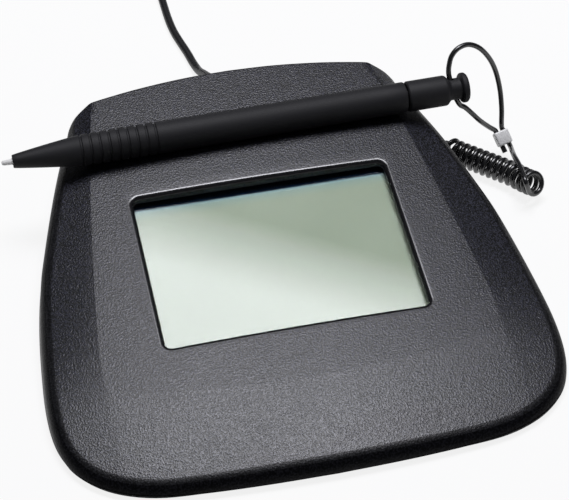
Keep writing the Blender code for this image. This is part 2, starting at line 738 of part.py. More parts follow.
def halfway(ring_a, ring_b, lowered=0.0):
    """A ring on the moulded surface midway between two rings."""
    out = []
    for a, b in zip(ring_a, ring_b):
        x, y = (a[0] + b[0]) / 2, (a[1] + b[1]) / 2
        out.append((x, y, surface_z(x, y) - lowered))
    return out


def seat_inset(e):
    """Inset of the base's seat: inside the wall, and where the shell leaves room above the base."""
    room = SKIRT_HEIGHT + BASE_THICKNESS + SHELL_WALL + GAP
    inset = SHELL_WALL
    while e.outer_z(inset) < room:
        inset += GAP
    return inset


def inner_point(e, past_wall):
    """A point of the shell's inner skin, this far inside the drafted wall."""
    inset = e.wall_inset + past_wall
    return e.point(inset, e.outer_z(inset) - SHELL_WALL)


def pen_axis_place():
    """Where the pen's axis crosses x = 0, in the table's frame."""
    return to_table(0.0, PEN_FACE_V, PEN_GRIP_RADIUS + GAP - GROOVE_DEPTH)


def pen_tip_place():
    """The pen's tip: the yaw turns the pen about the middle of its cradle."""
    _, y, z = pen_axis_place()
    return (PEN_TIP_X, y + PEN_TIP_X * math.tan(PEN_YAW), z)


def pen_groove():
    """Cutter for the shallow cradle across the rear of the face."""
    _, y, z = to_table(0.0, PEN_FACE_V, GROOVE_RADIUS - GROOVE_DEPTH)
    return rod("cut_groove", (-HALF_WIDTH, y, z), (HALF_WIDTH, y, z), GROOVE_RADIUS, None,
               GROOVE_SIDES)


def both_sides(places):
    for x, y in places:
        for side in (-1, 1):
            yield side * x, y


def place_name(x, y):
    return ("rear" if y > 0 else "front") + ("_right" if x > 0 else "_left")


def column_top():
    return SKIRT_HEIGHT + COLUMN_HEIGHT


def case_head_top():
    """Height of the case screws' heads, sunk in the base."""
    return SKIRT_HEIGHT + COUNTERBORE_DEPTH


def add_case_bosses(shell):
    """Four bosses that take the case screws from below."""
    hole = CASE_SCREW_RADIUS + GAP
    for x, y in both_sides(CASE_SCREW_PLACES):
        low = column_top() + GAP
        high = surface_z(x, y) - SHELL_WALL / 2
        join(shell, rod("add_boss_" + place_name(x, y), (x, y, low), (x, y, high),
                        BOSS_RADIUS, None, COLUMN_SIDES))
        tip = case_head_top() + CASE_SCREW_SHAFT + GAP
        cut(shell, rod("cut_boss_" + place_name(x, y), (x, y, low - OVERRUN), (x, y, tip),
                       hole, None, SMALL_SIDES))


def lug_middle_u():
    return tray_half_width() + LUG_LENGTH / 2


def add_tray_posts(shell):
    """Four posts under the face that the display tray is screwed to."""
    u = lug_middle_u()
    hole = SMALL_SCREW_RADIUS + GAP
    for side in (-1, 1):
        for v in (-LUG_PLACE, LUG_PLACE):
            low = to_table(side * u, v, -LUG_DROP + GAP)
            crown = u * u / (2 * CROWN_RADIUS)
            high = to_table(side * u, v, -crown - SHELL_WALL / 2)
            label = place_name(side * u, v)
            join(shell, rod("add_post_" + label, low, high, POST_RADIUS, None, COLUMN_SIDES))
            start = to_table(side * u, v, -LUG_DROP - OVERRUN)
            tip = to_table(side * u, v, -LUG_DROP - LUG_THICKNESS + SMALL_SCREW_SHAFT)
            cut(shell, rod("cut_post_" + label, start, tip, hole, None, SMALL_SIDES))


def rear_wall_y(z):
    """Outer face of the rear wall at the cable's exit."""
    return HALF_DEPTH * OUTLINE_SHARES[0][1] - (z - SKIRT_HEIGHT) * math.tan(REAR_DRAFT)


def cut_cable_slot(shell):
    """Round-topped slot in the rear wall for the boot, open at the skirt."""
    y = rear_wall_y(CABLE_HEIGHT)
    half = BOOT_NECK_RADIUS + GAP
    start = (CABLE_X, y - SHELL_WALL - OVERRUN, CABLE_HEIGHT)
    stop = (CABLE_X, y + OVERRUN, CABLE_HEIGHT)
    cut(shell, rod("cut_slot_top", start, stop, half, None, COLUMN_SIDES))
    cut(shell, box("cut_slot", (CABLE_X - half, start[1], SKIRT_HEIGHT - OVERRUN),
                   (CABLE_X + half, stop[1], CABLE_HEIGHT), None))


def tether_wall():
    """Middle of the tether's hole on the outer face of the right wall, and the way out."""
    line = outline_line()
    side = line[(line[:, 1] > 0) & (line[:, 0] > FACE_REAR_HALF)]
    near = int(np.argmin(np.abs(side[:, 1] - TETHER_WALL_Y)))
    step = side[near + 1] - side[near - 1]
    out = np.array([-step[1], step[0]]) / np.linalg.norm(step)
    inset = (TETHER_HEIGHT - SKIRT_HEIGHT) * math.tan(SIDE_DRAFT)
    x, y = side[near] - out * inset
    return Vector((x, y, TETHER_HEIGHT)), Vector((out[0], out[1], 0.0))


def cut_tether_hole(shell):
    place, out = tether_wall()
    reach = SHELL_WALL + 2 * OVERRUN
    cut(shell, rod("cut_tether_hole", place - out * reach, place + out * OVERRUN,
                   BUSH_RADIUS + GAP, None, COLUMN_SIDES))


def base_edge():
    """Outline of the base, just inside its seat."""
    half = [tuple(e.plan(seat_inset(e) + GAP)) for e in outline_points()]
    return half + [(-x, y) for x, y in half[-2:0:-1]]


def base_housing():
    """The base plate with its screw columns, standoffs, foot recesses and slot tab."""
    ring = base_edge()
    rings = [[(x, y, z) for x, y in ring] for z in (SKIRT_HEIGHT, SKIRT_HEIGHT + BASE_THICKNESS)]
    base = capped_solid("base_housing", rings, "smooth_black")
    embed = SKIRT_HEIGHT + BASE_THICKNESS / 2
    for x, y in both_sides(CASE_SCREW_PLACES):
        label = place_name(x, y)
        join(base, rod("add_column_" + label, (x, y, embed), (x, y, column_top()),
                       COLUMN_RADIUS, None, COLUMN_SIDES))
        cut(base, rod("cut_head_" + label, (x, y, SKIRT_HEIGHT - OVERRUN),
                      (x, y, case_head_top() + GAP), CASE_HEAD_RADIUS + GAP, None,
                      COLUMN_SIDES))
        cut(base, rod("cut_shaft_" + label, (x, y, SKIRT_HEIGHT),
                      (x, y, column_top() + OVERRUN), CASE_SCREW_RADIUS + GAP, None,
                      SMALL_SIDES))
    for x, y in board_screw_places():
        label = board_place_name(x, y)
        join(base, rod("add_standoff_" + label, (x, y, embed), (x, y, BOARD_HEIGHT - GAP),
                       STANDOFF_RADIUS, None, SMALL_SIDES))
        floor = board_top() + GAP - SMALL_SCREW_SHAFT - GAP
        cut(base, rod("cut_standoff_" + label, (x, y, floor), (x, y, BOARD_HEIGHT + OVERRUN),
                      SMALL_SCREW_RADIUS + GAP, None, SMALL_SIDES))
    for x, y in both_sides(FOOT_PLACES):
        cut(base, rod("cut_foot_" + place_name(x, y), (x, y, SKIRT_HEIGHT - OVERRUN),
                      (x, y, SKIRT_HEIGHT + FOOT_RECESS), FOOT_RADIUS + GAP, None,
                      COLUMN_SIDES))
    join(base, slot_tab())
    return base


def slot_tab():
    """Tongue of the base that closes the cable slot under the boot."""
    y = rear_wall_y(CABLE_HEIGHT)
    half = BOOT_NECK_RADIUS
    return box("add_tab", (CABLE_X - half, y - SHELL_WALL - GAP, SKIRT_HEIGHT),
               (CABLE_X + half, y - GAP, CABLE_HEIGHT - BOOT_NECK_RADIUS - GAP), None)


def feet():
    """Four rubber feet in the base's recesses."""
    top = SKIRT_HEIGHT + FOOT_RECESS - GAP
    for x, y in both_sides(FOOT_PLACES):
        profile = [(0.0, FOOT_RADIUS - FOOT_BEVEL), (FOOT_BEVEL, FOOT_RADIUS), (top, FOOT_RADIUS)]
        foot = turned("foot_" + place_name(x, y), profile, "rubber_black", COLUMN_SIDES)
        put(foot, (x, y, 0.0), (0.0, 0.0, 1.0))


def screw(name, head_radius, head_height, radius, shaft, place, direction):
    """A round-head screw; its origin is where the head meets the shaft."""
    crown = head_height / 3
    profile = [(-head_height, head_radius - crown), (-head_height + crown, head_radius),
               (0.0, head_radius), (0.0, radius), (shaft - radius, radius), (shaft, radius / 3)]
    return put(turned(name, profile, "steel", SMALL_SIDES), place, direction)


def case_screws():
    for x, y in both_sides(CASE_SCREW_PLACES):
        screw("case_screw_" + place_name(x, y), CASE_HEAD_RADIUS, CASE_HEAD_HEIGHT,
              CASE_SCREW_RADIUS, CASE_SCREW_SHAFT, (x, y, case_head_top()),
              (0.0, 0.0, 1.0))


# Display

def tray_half_width():
    return WINDOW_HALF_WIDTH + GLASS_MARGIN + GAP + TRAY_WALL


def tray_half_depth():
    return WINDOW_HALF_DEPTH + GLASS_MARGIN + GAP + TRAY_WALL


def gasket_top():
    return -COLLAR_DEPTH - GAP


def glass_top():
    return gasket_top() - GASKET_THICKNESS - GAP


def cell_top():
    return glass_top() - GLASS_THICKNESS - GAP


def diffuser_top():
    return cell_top() - CELL_THICKNESS - GAP


def tray_floor_top():
    return diffuser_top() - DIFFUSER_THICKNESS - GAP


def flat_ring(margin, w):
    """Whole ring round the window in the face frame."""
    half = [(u, v, w) for u, v in rounded_half(WINDOW_HALF_WIDTH + margin,
                                                WINDOW_HALF_DEPTH + margin,
                                                WINDOW_CORNER + margin)]
    return whole_ring(half)


def slab(name, margin, top, thickness, finish, frame):
    """A block of the display stack, under the window."""
    w, d = WINDOW_HALF_WIDTH + margin, WINDOW_HALF_DEPTH + margin
    obj = box(name, (-w, -d, top - thickness), (w, d, top), finish)
    obj.parent = frame
    return obj


def display(frame):
    """Gasket, touch glass, display cell and diffuser, one under the other."""
    inner, outer = GASKET_SETBACK, GASKET_SETBACK + GASKET_WIDTH
    low = gasket_top() - GASKET_THICKNESS
    rings = [flat_ring(inner, low), flat_ring(inner, gasket_top()),
             flat_ring(outer, gasket_top()), flat_ring(outer, low)]
    gasket = ring_solid("window_gasket", rings, "rubber_black")
    gasket.parent = frame
    slab("touch_glass", GLASS_MARGIN, glass_top(), GLASS_THICKNESS, "glass", frame)
    slab("display_cell", CELL_MARGIN, cell_top(), CELL_THICKNESS, "display_green", frame)
    slab("display_diffuser", DIFFUSER_MARGIN, diffuser_top(), DIFFUSER_THICKNESS,
         "white_plastic", frame)


def display_tray(frame):
    """Open tray that holds the stack up against the collar, with four screw lugs."""
    w, d = tray_half_width(), tray_half_depth()
    low = tray_floor_top() - TRAY_FLOOR
    tray = box("display_tray", (-w, -d, low), (w, d, -TRAY_RIM_DROP), "smooth_black")
    tray.parent = frame
    pocket = box("cut_pocket", (-w + TRAY_WALL, -d + TRAY_WALL, tray_floor_top()),
                 (w - TRAY_WALL, d - TRAY_WALL, OVERRUN), None)
    notch = box("cut_notch", (-TRAY_NOTCH_HALF, d - 2 * TRAY_WALL, tray_floor_top()),
                (TRAY_NOTCH_HALF, d + OVERRUN, OVERRUN), None)
    for side in (-1, 1):
        for v in (-LUG_PLACE, LUG_PLACE):
            label = place_name(side, v)
            near, far = side * (w - TRAY_WALL / 2), side * (w + LUG_LENGTH)
            lug = box("add_lug_" + label,
                      (min(near, far), v - LUG_HALF_WIDTH, -LUG_DROP - LUG_THICKNESS),
                      (max(near, far), v + LUG_HALF_WIDTH, -LUG_DROP), None)
            lug.parent = frame
            join(tray, lug)
            u = side * lug_middle_u()
            hole = rod("cut_lug_" + label, (u, v, -LUG_DROP - LUG_THICKNESS - OVERRUN),
                       (u, v, -LUG_DROP + OVERRUN), SMALL_SCREW_RADIUS + GAP, None, SMALL_SIDES)
            hole.parent = frame
            cut(tray, hole)
    for tool in (pocket, notch):
        tool.parent = frame
        cut(tray, tool)


def tray_screws():
    """Four screws up through the tray's lugs into the posts."""
    up = Vector(to_table(0.0, 0.0, 1.0)) - Vector(to_table(0.0, 0.0, 0.0))
    for side in (-1, 1):
        for v in (-LUG_PLACE, LUG_PLACE):
            place = to_table(side * lug_middle_u(), v, -LUG_DROP - LUG_THICKNESS - GAP)
            screw("tray_screw_" + place_name(side, v), SMALL_HEAD_RADIUS, SMALL_HEAD_HEIGHT,
                  SMALL_SCREW_RADIUS, SMALL_SCREW_SHAFT, place, up)


# Electronics

def board_top():
    return BOARD_HEIGHT + BOARD_THICKNESS


def board_screw_places():
    xs = BOARD_HALF_WIDTH - BOARD_INSET
    for y in (BOARD_FRONT_Y + BOARD_INSET, BOARD_REAR_Y - BOARD_INSET):
        for side in (-1, 1):
            yield side * xs, y


def board_place_name(x, y):
    middle = (BOARD_FRONT_Y + BOARD_REAR_Y) / 2
    return place_name(x, y - middle)


def main_board():
    """The circuit board on its four standoffs."""
    board = box("main_board", (-BOARD_HALF_WIDTH, BOARD_FRONT_Y, BOARD_HEIGHT),
                (BOARD_HALF_WIDTH, BOARD_REAR_Y, board_top()), "board_green")
    for x, y in board_screw_places():
        label = board_place_name(x, y)
        cut(board, rod("cut_board_" + label, (x, y, BOARD_HEIGHT - OVERRUN),
                       (x, y, board_top() + OVERRUN), SMALL_SCREW_RADIUS + GAP, None,
                       SMALL_SIDES))
        screw("board_screw_" + label, SMALL_HEAD_RADIUS, SMALL_HEAD_HEIGHT,
              SMALL_SCREW_RADIUS, SMALL_SCREW_SHAFT, (x, y, board_top() + GAP),
              (0.0, 0.0, -1.0))


def on_board(name, size, x, y, finish):
    """A block that sits on the board, its middle at x, y."""
    low = board_top() + GAP
    return box(name, (x - size[0] / 2, y - size[1] / 2, low),
               (x + size[0] / 2, y + size[1] / 2, low + size[2]), finish)


def board_parts():
    on_board("controller_chip", (CHIP_SIZE, CHIP_SIZE, CHIP_HEIGHT), CHIP_X, CHIP_Y, "chip_black")
    on_board("clock_crystal", CRYSTAL_SIZE, -CHIP_X, CHIP_Y, "steel")
    on_board("ribbon_socket", SOCKET_SIZE, 0.0, SOCKET_Y, "white_plastic")
    on_board("cable_header", HEADER_SIZE, CABLE_X, HEADER_Y, "white_plastic")


def display_ribbon():
    """Flexible ribbon from the display cell, out of the tray and down into its socket."""
    rear = WINDOW_HALF_DEPTH + CELL_MARGIN + GAP
    depth = cell_top() - CELL_THICKNESS / 2
    start = np.array(to_table(0.0, rear, depth))[1:]
    out = np.array(to_table(0.0, tray_half_depth() + RIBBON_REACH / 3, depth))[1:]
    end_z = board_top() + GAP + SOCKET_SIZE[2] + GAP
    turn = np.array([max(out[0] + RIBBON_REACH / 2, SOCKET_Y), (out[1] + end_z) / 2])
    line = curve_through([start, out, turn, np.array([SOCKET_Y, end_z])], 5)
    step = np.gradient(line, axis=0)
    side = np.column_stack([-step[:, 1], step[:, 0]]) / np.linalg.norm(step, axis=1)[:, None]
    half = RIBBON_THICKNESS / 2
    loop = [tuple(p) for p in line + side * half] + [tuple(p) for p in (line - side * half)[::-1]]
    rings = [[(x, y, z) for y, z in loop] for x in (-RIBBON_HALF_WIDTH, RIBBON_HALF_WIDTH)]
    return capped_solid("display_ribbon", rings, "film_amber")


# Pen

def barrel_profile():
    """Outer line of the barrel: nose cone, ribbed grip and a long taper."""
    ribs_start = NIB_LENGTH + CONE_LENGTH
    ribs_end = ribs_start + RIB_COUNT * RIB_PITCH
    profile = [(NIB_LENGTH, PEN_NOSE_RADIUS),
               (NIB_LENGTH + CONE_LENGTH / 2, (PEN_NOSE_RADIUS + 2 * PEN_SHOULDER_RADIUS) / 3),
               (ribs_start, PEN_SHOULDER_RADIUS)]
    for k in range(RIB_COUNT):
        a = ribs_start + k * RIB_PITCH
        crest = PEN_SHOULDER_RADIUS + (PEN_GRIP_RADIUS - PEN_SHOULDER_RADIUS) * min(
            1.0, 2 * (k + 1) / RIB_COUNT)
        groove = RIB_PITCH * RIB_GROOVE_SHARE
        profile.append((a + groove / 4, crest - RIB_DEPTH))
        profile.append((a + groove * 3 / 4, crest - RIB_DEPTH))
        profile.append((a + groove, crest))
        profile.append((a + RIB_PITCH, crest))
    end = BARREL_END
    profile.append(((ribs_end + end) / 2, (PEN_GRIP_RADIUS + PEN_REAR_RADIUS) / 2))
    profile.append((end - SEAM_CHAMFER, PEN_REAR_RADIUS))
    profile.append((end, PEN_REAR_RADIUS - SEAM_CHAMFER))
    return profile


def pen(axis):
    """Barrel, nib and end cap on one axis, tip at local zero."""
    nib_hole = NIB_RADIUS + GAP
    spigot_hole = CAP_SPIGOT_RADIUS + GAP
    bore_end = BARREL_END - CAP_SPIGOT_LENGTH - GAP
    inside = [(BARREL_END, spigot_hole), (bore_end, spigot_hole), (bore_end, nib_hole),
              (NIB_LENGTH, nib_hole)]
    profile = barrel_profile() + inside
    barrel = turned_ring("pen_barrel", profile, "soft_touch_black")
    nib = turned("pen_nib", [(0.0, 0.0), (NIB_TIP_RADIUS / 3, NIB_TIP_RADIUS * 2 / 3),
                             (NIB_TIP_RADIUS, NIB_TIP_RADIUS),
                             (NIB_LENGTH - GAP, NIB_RADIUS), (NIB_LENGTH + NIB_SHANK, NIB_RADIUS)],
                 "nib_white", COLUMN_SIDES)
    cap, eye = pen_cap()
    for obj in (barrel, nib, cap, eye):
        obj.parent = axis


def turned_ring(name, profile, finish):
    """A solid of revolution about local X from a closed line of (along, radius) points."""
    rings = []
    for a, radius in profile:
        rings.append([(a, radius * math.cos(2 * math.pi * k / TURN_SIDES),
                       radius * math.sin(2 * math.pi * k / TURN_SIDES))
                      for k in range(TURN_SIDES)])
    return ring_solid(name, rings, finish)


def neck_middle():
    """Distance from the tip to the tether's eye."""
    return (CAP_SHOULDER + CAP_CHAMFER + FLANGE_START) / 2


def pen_cap():
    """End cap: spigot, body, narrow neck with the tether's eye, and a flange."""
    start = BARREL_END + CAP_SEAM
    flange = PEN_LENGTH - FLANGE_THICKNESS
    neck_start = CAP_SHOULDER + CAP_CHAMFER
    profile = [(start - CAP_SEAM - CAP_SPIGOT_LENGTH, CAP_SPIGOT_RADIUS),
               (start, CAP_SPIGOT_RADIUS), (start, PEN_REAR_RADIUS - SEAM_CHAMFER),
               (start + SEAM_CHAMFER, PEN_REAR_RADIUS), (CAP_SHOULDER, PEN_REAR_RADIUS),
               (neck_start, NECK_RADIUS), (FLANGE_START, NECK_RADIUS),
               ((FLANGE_START + flange) / 2, NECK_RADIUS + FLANGE_BEVEL),
               (flange, FLANGE_RADIUS - FLANGE_BEVEL), (flange + FLANGE_BEVEL, FLANGE_RADIUS),
               (PEN_LENGTH - FLANGE_BEVEL, FLANGE_RADIUS),
               (PEN_LENGTH, FLANGE_RADIUS - FLANGE_BEVEL)]
    cap = turned("pen_end_cap", profile, "soft_touch_black")
    reach = NECK_RADIUS + OVERRUN
    axis = Vector(PEN_EYE_AXIS).normalized()
    middle = Vector((neck_middle(), 0.0, 0.0))
    eye = rod("cut_eye", middle - axis * reach, middle + axis * reach, EYE_RADIUS, None,
              EYE_SIDES)
    cut(cap, eye)
    return cap, eye


# Tether

def eye_place():
    """Middle of the tether's eye in the table's frame."""
    tip = Vector(pen_tip_place())
    return tip + Vector((math.cos(PEN_YAW), math.sin(PEN_YAW), 0.0)) * neck_middle()


def curl_frames(line):
    """Directions along a line, and two across it that turn as little as they can."""
    ahead = np.gradient(line, axis=0)
    ahead /= np.linalg.norm(ahead, axis=1)[:, None]
    across = np.cross(ahead[0], (0.0, 0.0, 1.0))
    first = [across / np.linalg.norm(across)]
    for d in ahead[1:]:
        across = first[-1] - d * (first[-1] @ d)
        first.append(across / np.linalg.norm(across))
    first = np.array(first)
    return ahead, first, np.cross(ahead, first)


def curl_turns(run, ahead):
    """Turns made up to each point: in a bend the pitch opens so that the inside keeps its gap."""
    bend = np.linalg.norm(np.gradient(ahead, axis=0), axis=1) / np.gradient(run)
    window = len(run) // 9
    padded = np.pad(bend, window // 2, mode='edge')
    bend = np.convolve(padded, np.ones(window) / window, 'same')[window // 2:][:len(run)]
    tightness = np.minimum(CURL_RADIUS * bend, CURL_TIGHTEST_SHARE)
    pitch = (TETHER_DIAMETER + CURL_GAP) / (1 - tightness)
    return np.r_[0.0, np.cumsum(np.diff(run) / pitch[1:])]


def curl_points():
    """The curly cord: a helix round its middle line that grows from the straight cord."""
    line = curve_through(TETHER_AXIS, 24)
    line = sample(line, 0.0, run_along(line)[-1], 480)
    run = run_along(line)
    ahead, across, other = curl_frames(line)
    turns = curl_turns(run, ahead)
    count = int(round(turns[-1] * CURL_POINTS))
    out = []
    for k in range(count + 1):
        turn = turns[-1] * k / count
        at = np.interp(turn, turns, run)
        centre, a, b = [np.array([np.interp(at, run, field[:, i]) for i in range(3)])
                        for field in (line, across, other)]
        radius = CURL_RADIUS * smoothstep(at / CURL_RUN_IN)
        angle = CURL_PHASE - 2 * math.pi * (turn - turns[-1])
        out.append(centre + radius * (math.cos(angle) * a + math.sin(angle) * b))
    return np.array(out)


def ferrule_end(sign):
    """Middle of one end face of the ferrule: +1 is the end away from the loop."""
    axis = Vector(FERRULE_AXIS).normalized()
    return Vector(FERRULE_CENTRE) + axis * sign * FERRULE_SIZE[2] / 2


def ferrule_side():
    """Direction across the ferrule, from the tail's bore to the lead's."""
    axis = Vector(FERRULE_AXIS).normalized()
    return (Vector((1.0, 0.0, 0.0)) - axis * axis.x).normalized()


def tether_points():
    """The tether from the stop inside the wall, through the bush and the curls, to the ferrule."""
    place, out = tether_wall()
    inside = place - out * (SHELL_WALL + BUSH_FLANGE)
    axis = Vector(FERRULE_AXIS).normalized()
    port = ferrule_end(1) + ferrule_side() * FERRULE_SIZE[0] / 4 + axis * GAP
    curls = curl_points()
    start = [inside, place, place + out * TETHER_DIAMETER, *TETHER_START, curls[0], curls[1]]
    start = curve_through([np.array(p) for p in start], 3)[:-3]
    lead = [curls[-2], curls[-1], *TETHER_LEAD, port + axis * TETHER_DIAMETER, port]
    lead = curve_through([np.array(p) for p in lead], 3)[3:]
    return np.vstack([start[:-1], curls, lead[1:]])


def tether():
    """The tether's cords and the pieces on them."""
    points = tether_points()
    tube("tether_curl", points, TETHER_DIAMETER, WOUND_CORD_STEPS, "cord_black")
    print("tether curl: length %.4f, least gap to itself %.5f"
          % (run_along(points)[-1], least_gap(points, TETHER_DIAMETER, 2 * CURL_RADIUS)))
    loop = loop_points()
    tube("tether_loop", loop, TETHER_DIAMETER, FINE_CORD_STEPS, "cord_black")
    print("tether loop: length %.4f" % run_along(loop)[-1])
    axis = Vector(FERRULE_AXIS).normalized()
    port = ferrule_end(1) - ferrule_side() * FERRULE_SIZE[0] / 4 + axis * GAP
    rod("tether_tail", port, port + axis * TAIL_LENGTH, TETHER_DIAMETER / 2, "cord_black", SMALL_SIDES)
    ferrule()
    bush_and_stop()


def loop_points():
    """The loop: ferrule, up through the pen's eye, over and back to the ferrule."""
    side = ferrule_side() * FERRULE_SIZE[0] / 4
    axis = Vector(FERRULE_AXIS).normalized()
    first = ferrule_end(-1) - side - axis * GAP
    last = ferrule_end(-1) + side - axis * GAP
    eye = eye_place()
    up = Matrix.Rotation(PEN_YAW, 3, 'Z') @ Vector(PEN_EYE_AXIS).normalized()
    reach = NECK_RADIUS + TETHER_DIAMETER
    stops = [first, first - axis * TETHER_DIAMETER / 2, *LOOP_LOWER, eye - up * NECK_RADIUS, eye,
             eye + up * reach, *LOOP_UPPER, last - axis * TETHER_DIAMETER, last]
    line = curve_through([np.array(p) for p in stops], 12)
    return sample(line, 0.0, run_along(line)[-1], LOOP_POINTS)


def ferrule():
    """Crimped sleeve, oval across, that holds the loop's two ends."""
    wide, deep, long = [s / 2 for s in FERRULE_SIZE]
    rings = []
    for z, shrink in ((-long, FERRULE_BEVEL), (-long + FERRULE_BEVEL, 0.0),
                      (long - FERRULE_BEVEL, 0.0), (long, FERRULE_BEVEL)):
        ring = []
        for k in range(FERRULE_SIDES):
            t = 2 * math.pi * k / FERRULE_SIDES
            flat = deep - shrink
            reach = wide - deep
            x = flat * math.cos(t) + math.copysign(reach, math.cos(t))
            ring.append((x, flat * math.sin(t), z))
        rings.append(ring)
    obj = capped_solid("tether_ferrule", rings, "aluminium")
    axis = Vector(FERRULE_AXIS).normalized()
    side = ferrule_side()
    obj.matrix_world = (Matrix.Translation(FERRULE_CENTRE)
                        @ Matrix((side, axis.cross(side), axis)).transposed().to_4x4())


def bush_and_stop():
    """Rubber bush in the side wall, and the crimp inside that keeps the tether from pulling out."""
    place, out = tether_wall()
    bore = TETHER_DIAMETER / 2 + GAP
    inner = -SHELL_WALL - GAP
    profile = [(inner, bore), (inner, BUSH_RADIUS), (GAP, BUSH_RADIUS),
               (GAP, BUSH_FLANGE_RADIUS), (GAP + BUSH_FLANGE, BUSH_FLANGE_RADIUS - GAP),
               (GAP + BUSH_FLANGE, bore)]
    bush = turned_ring("tether_bush", profile, "rubber_black")
    put(bush, place, out)
    start = place - out * (SHELL_WALL + BUSH_FLANGE + GAP)
    rod("tether_stop", start - out * STOP_LENGTH, start, STOP_RADIUS, "aluminium", COLUMN_SIDES)


# USB cable

def coil_base():
    """Height of the middle of the coil's lowest layer: the tie passes under it."""
    return TIE_THICKNESS + 2 * GAP + CABLE_DIAMETER / 2


def coil_at(angle):
    """A point of the coil: the radius swings in and out, and the cord climbs where it turns."""
    turns = angle / (2 * math.pi)
    inside = turns / COIL_TURNS % 2
    share = inside if inside <= 1 else 2 - inside
    past = max(turns - COIL_LAYERS * COIL_TURNS, 0.0)
    if past:
        share = 0.0
    half_span = COIL_TURNS * COIL_STEP / 2
    radius = COIL_MID_RADIUS + half_span * (1 - 2 * share) + COIL_STEP * past
    climb = 0.0
    for k in range(1, COIL_LAYERS):
        climb += COIL_STEP * smoothstep((turns - k * COIL_TURNS) * 2 + 0.5)
    x, y = COIL_CENTRE
    return np.array([x + radius * math.cos(angle), y + radius * math.sin(angle),
                     coil_base() + climb])


def coil_points():
    """The wound stretch, run on past the last turn before it leaves the coil."""
    count = int(round(COIL_LAYERS * COIL_TURNS * COIL_POINTS)) + COIL_RUN_ON
    return np.array([coil_at(2 * math.pi * k / COIL_POINTS) for k in range(count + 1)])


def plug_start():
    """Where the cable meets the plug, behind the coil, and the way on along the plug."""
    radius = COIL_MID_RADIUS + COIL_TURNS * COIL_STEP / 2 + 2 * CABLE_DIAMETER
    x, y = COIL_CENTRE
    place = Vector((x - 2 * CABLE_DIAMETER, y + radius, PLUG_BODY[1] / 2))
    return place, Vector((-1.0, 0.0, 0.0))


def run_out_points(last, before):
    """From the top of the coil round behind it and down to the plug."""
    place, way = plug_start()
    centre = Vector((*COIL_CENTRE, 0.0))
    start_turn = 2 * math.pi * COIL_RUN_ON / COIL_POINTS
    start_radius = (Vector(last) - centre).to_2d().length
    points = [before, last]
    for share in RUN_OUT_SHARES:
        turn = start_turn + (math.pi / 2 - start_turn) * share
        out = smoothstep(share * RUN_OUT_HASTE_SHARE)
        radius = start_radius + (place.y - centre.y - start_radius) * out
        z = last[2] + (place.z - last[2]) * smoothstep(share)
        points.append((centre.x + radius * math.cos(turn),
                       centre.y + radius * math.sin(turn), z))
    end = place - way * GAP
    points += [end - way * CABLE_DIAMETER, end]
    return curve_through([np.array(p) for p in points], 4)[4:]


def usb_cable():
    """Boot, free run, coil, run-out, tie and plug."""
    boot()
    tip = boot_tip_y() + GAP
    first = np.array((CABLE_X, tip, CABLE_HEIGHT))
    second = np.array((CABLE_X, tip + CABLE_DIAMETER, CABLE_HEIGHT))
    coil = coil_points()
    join_way = (coil[1] - coil[0]) / np.linalg.norm(coil[1] - coil[0])
    route = [first, second] + [np.array(p) for p in CABLE_ROUTE]
    route += [coil[0] - join_way * CABLE_DIAMETER, coil[0] - join_way * GAP]
    line = curve_through(route, 6)
    run = sample(line, 0.0, run_along(line)[-1], 24)
    tube("usb_cable", run, CABLE_DIAMETER, FINE_CORD_STEPS, "cord_black")
    tail = run_out_points(coil[-1], coil[-2])
    wound = np.vstack([coil, tail[1:]])
    tube("usb_coil", wound, CABLE_DIAMETER, WOUND_CORD_STEPS, "cord_black")
    print("cable: free %.4f, wound %.4f, least gap of the coil to itself %.5f"
          % (run_along(run)[-1], run_along(wound)[-1],
             least_gap(wound, CABLE_DIAMETER, 4 * CABLE_DIAMETER)))
    tie()
    plug()
    inner_lead()


def boot_faces():
    """The boot's inner flange face and outer flange face along Y."""
    wall = rear_wall_y(CABLE_HEIGHT)
    return wall - SHELL_WALL - 2 * GAP, wall + 2 * GAP


def boot_tip_y():
    return boot_faces()[1] + BOOT_FLANGE + BOOT_LENGTH


def boot():
    """Strain relief held in the slot by a flange on each side of the wall."""
    inner, outer = boot_faces()
    tip = boot_tip_y()
    profile = [(inner - BOOT_FLANGE, BOOT_FLANGE_RADIUS), (inner, BOOT_FLANGE_RADIUS),
               (inner, BOOT_NECK_RADIUS), (outer, BOOT_NECK_RADIUS),
               (outer, BOOT_FLANGE_RADIUS), (outer + BOOT_FLANGE, BOOT_FLANGE_RADIUS - GAP),
               (outer + BOOT_FLANGE, BOOT_ROOT_RADIUS)]
    for k in range(BOOT_RIB_COUNT):
        a, b = [outer + BOOT_FLANGE + BOOT_LENGTH * (k + share) / (BOOT_RIB_COUNT + 1)
                for share in BOOT_GROOVE_SHARES]
        radius = (BOOT_ROOT_RADIUS
                  + (BOOT_TIP_RADIUS - BOOT_ROOT_RADIUS) * (k + BOOT_GROOVE_SHARES[0]) / BOOT_RIB_COUNT)
        profile += [(a, radius), (a, radius - 2 * GAP), (b, radius - 2 * GAP), (b, radius)]
    profile.append((tip, BOOT_TIP_RADIUS))
    obj = turned("strain_relief", profile, "cord_black", COLUMN_SIDES)
    put(obj, (CABLE_X, 0.0, CABLE_HEIGHT), (0.0, 1.0, 0.0))


def inner_lead():
    """The cable's end inside the housing, from the boot to its header on the board."""
    start = boot_faces()[0] - BOOT_FLANGE - GAP
    height = board_top() + GAP + HEADER_SIZE[2] / 2
    stop = HEADER_Y + HEADER_SIZE[1] / 2 + GAP
    points = [(CABLE_X, start, CABLE_HEIGHT), (CABLE_X, start - CABLE_DIAMETER, CABLE_HEIGHT),
              (CABLE_X, stop + CABLE_DIAMETER, height), (CABLE_X, stop, height)]
    line = curve_through([np.array(p) for p in points], 4)
    tube("inner_lead", line, CABLE_DIAMETER, FINE_CORD_STEPS, "cord_black")


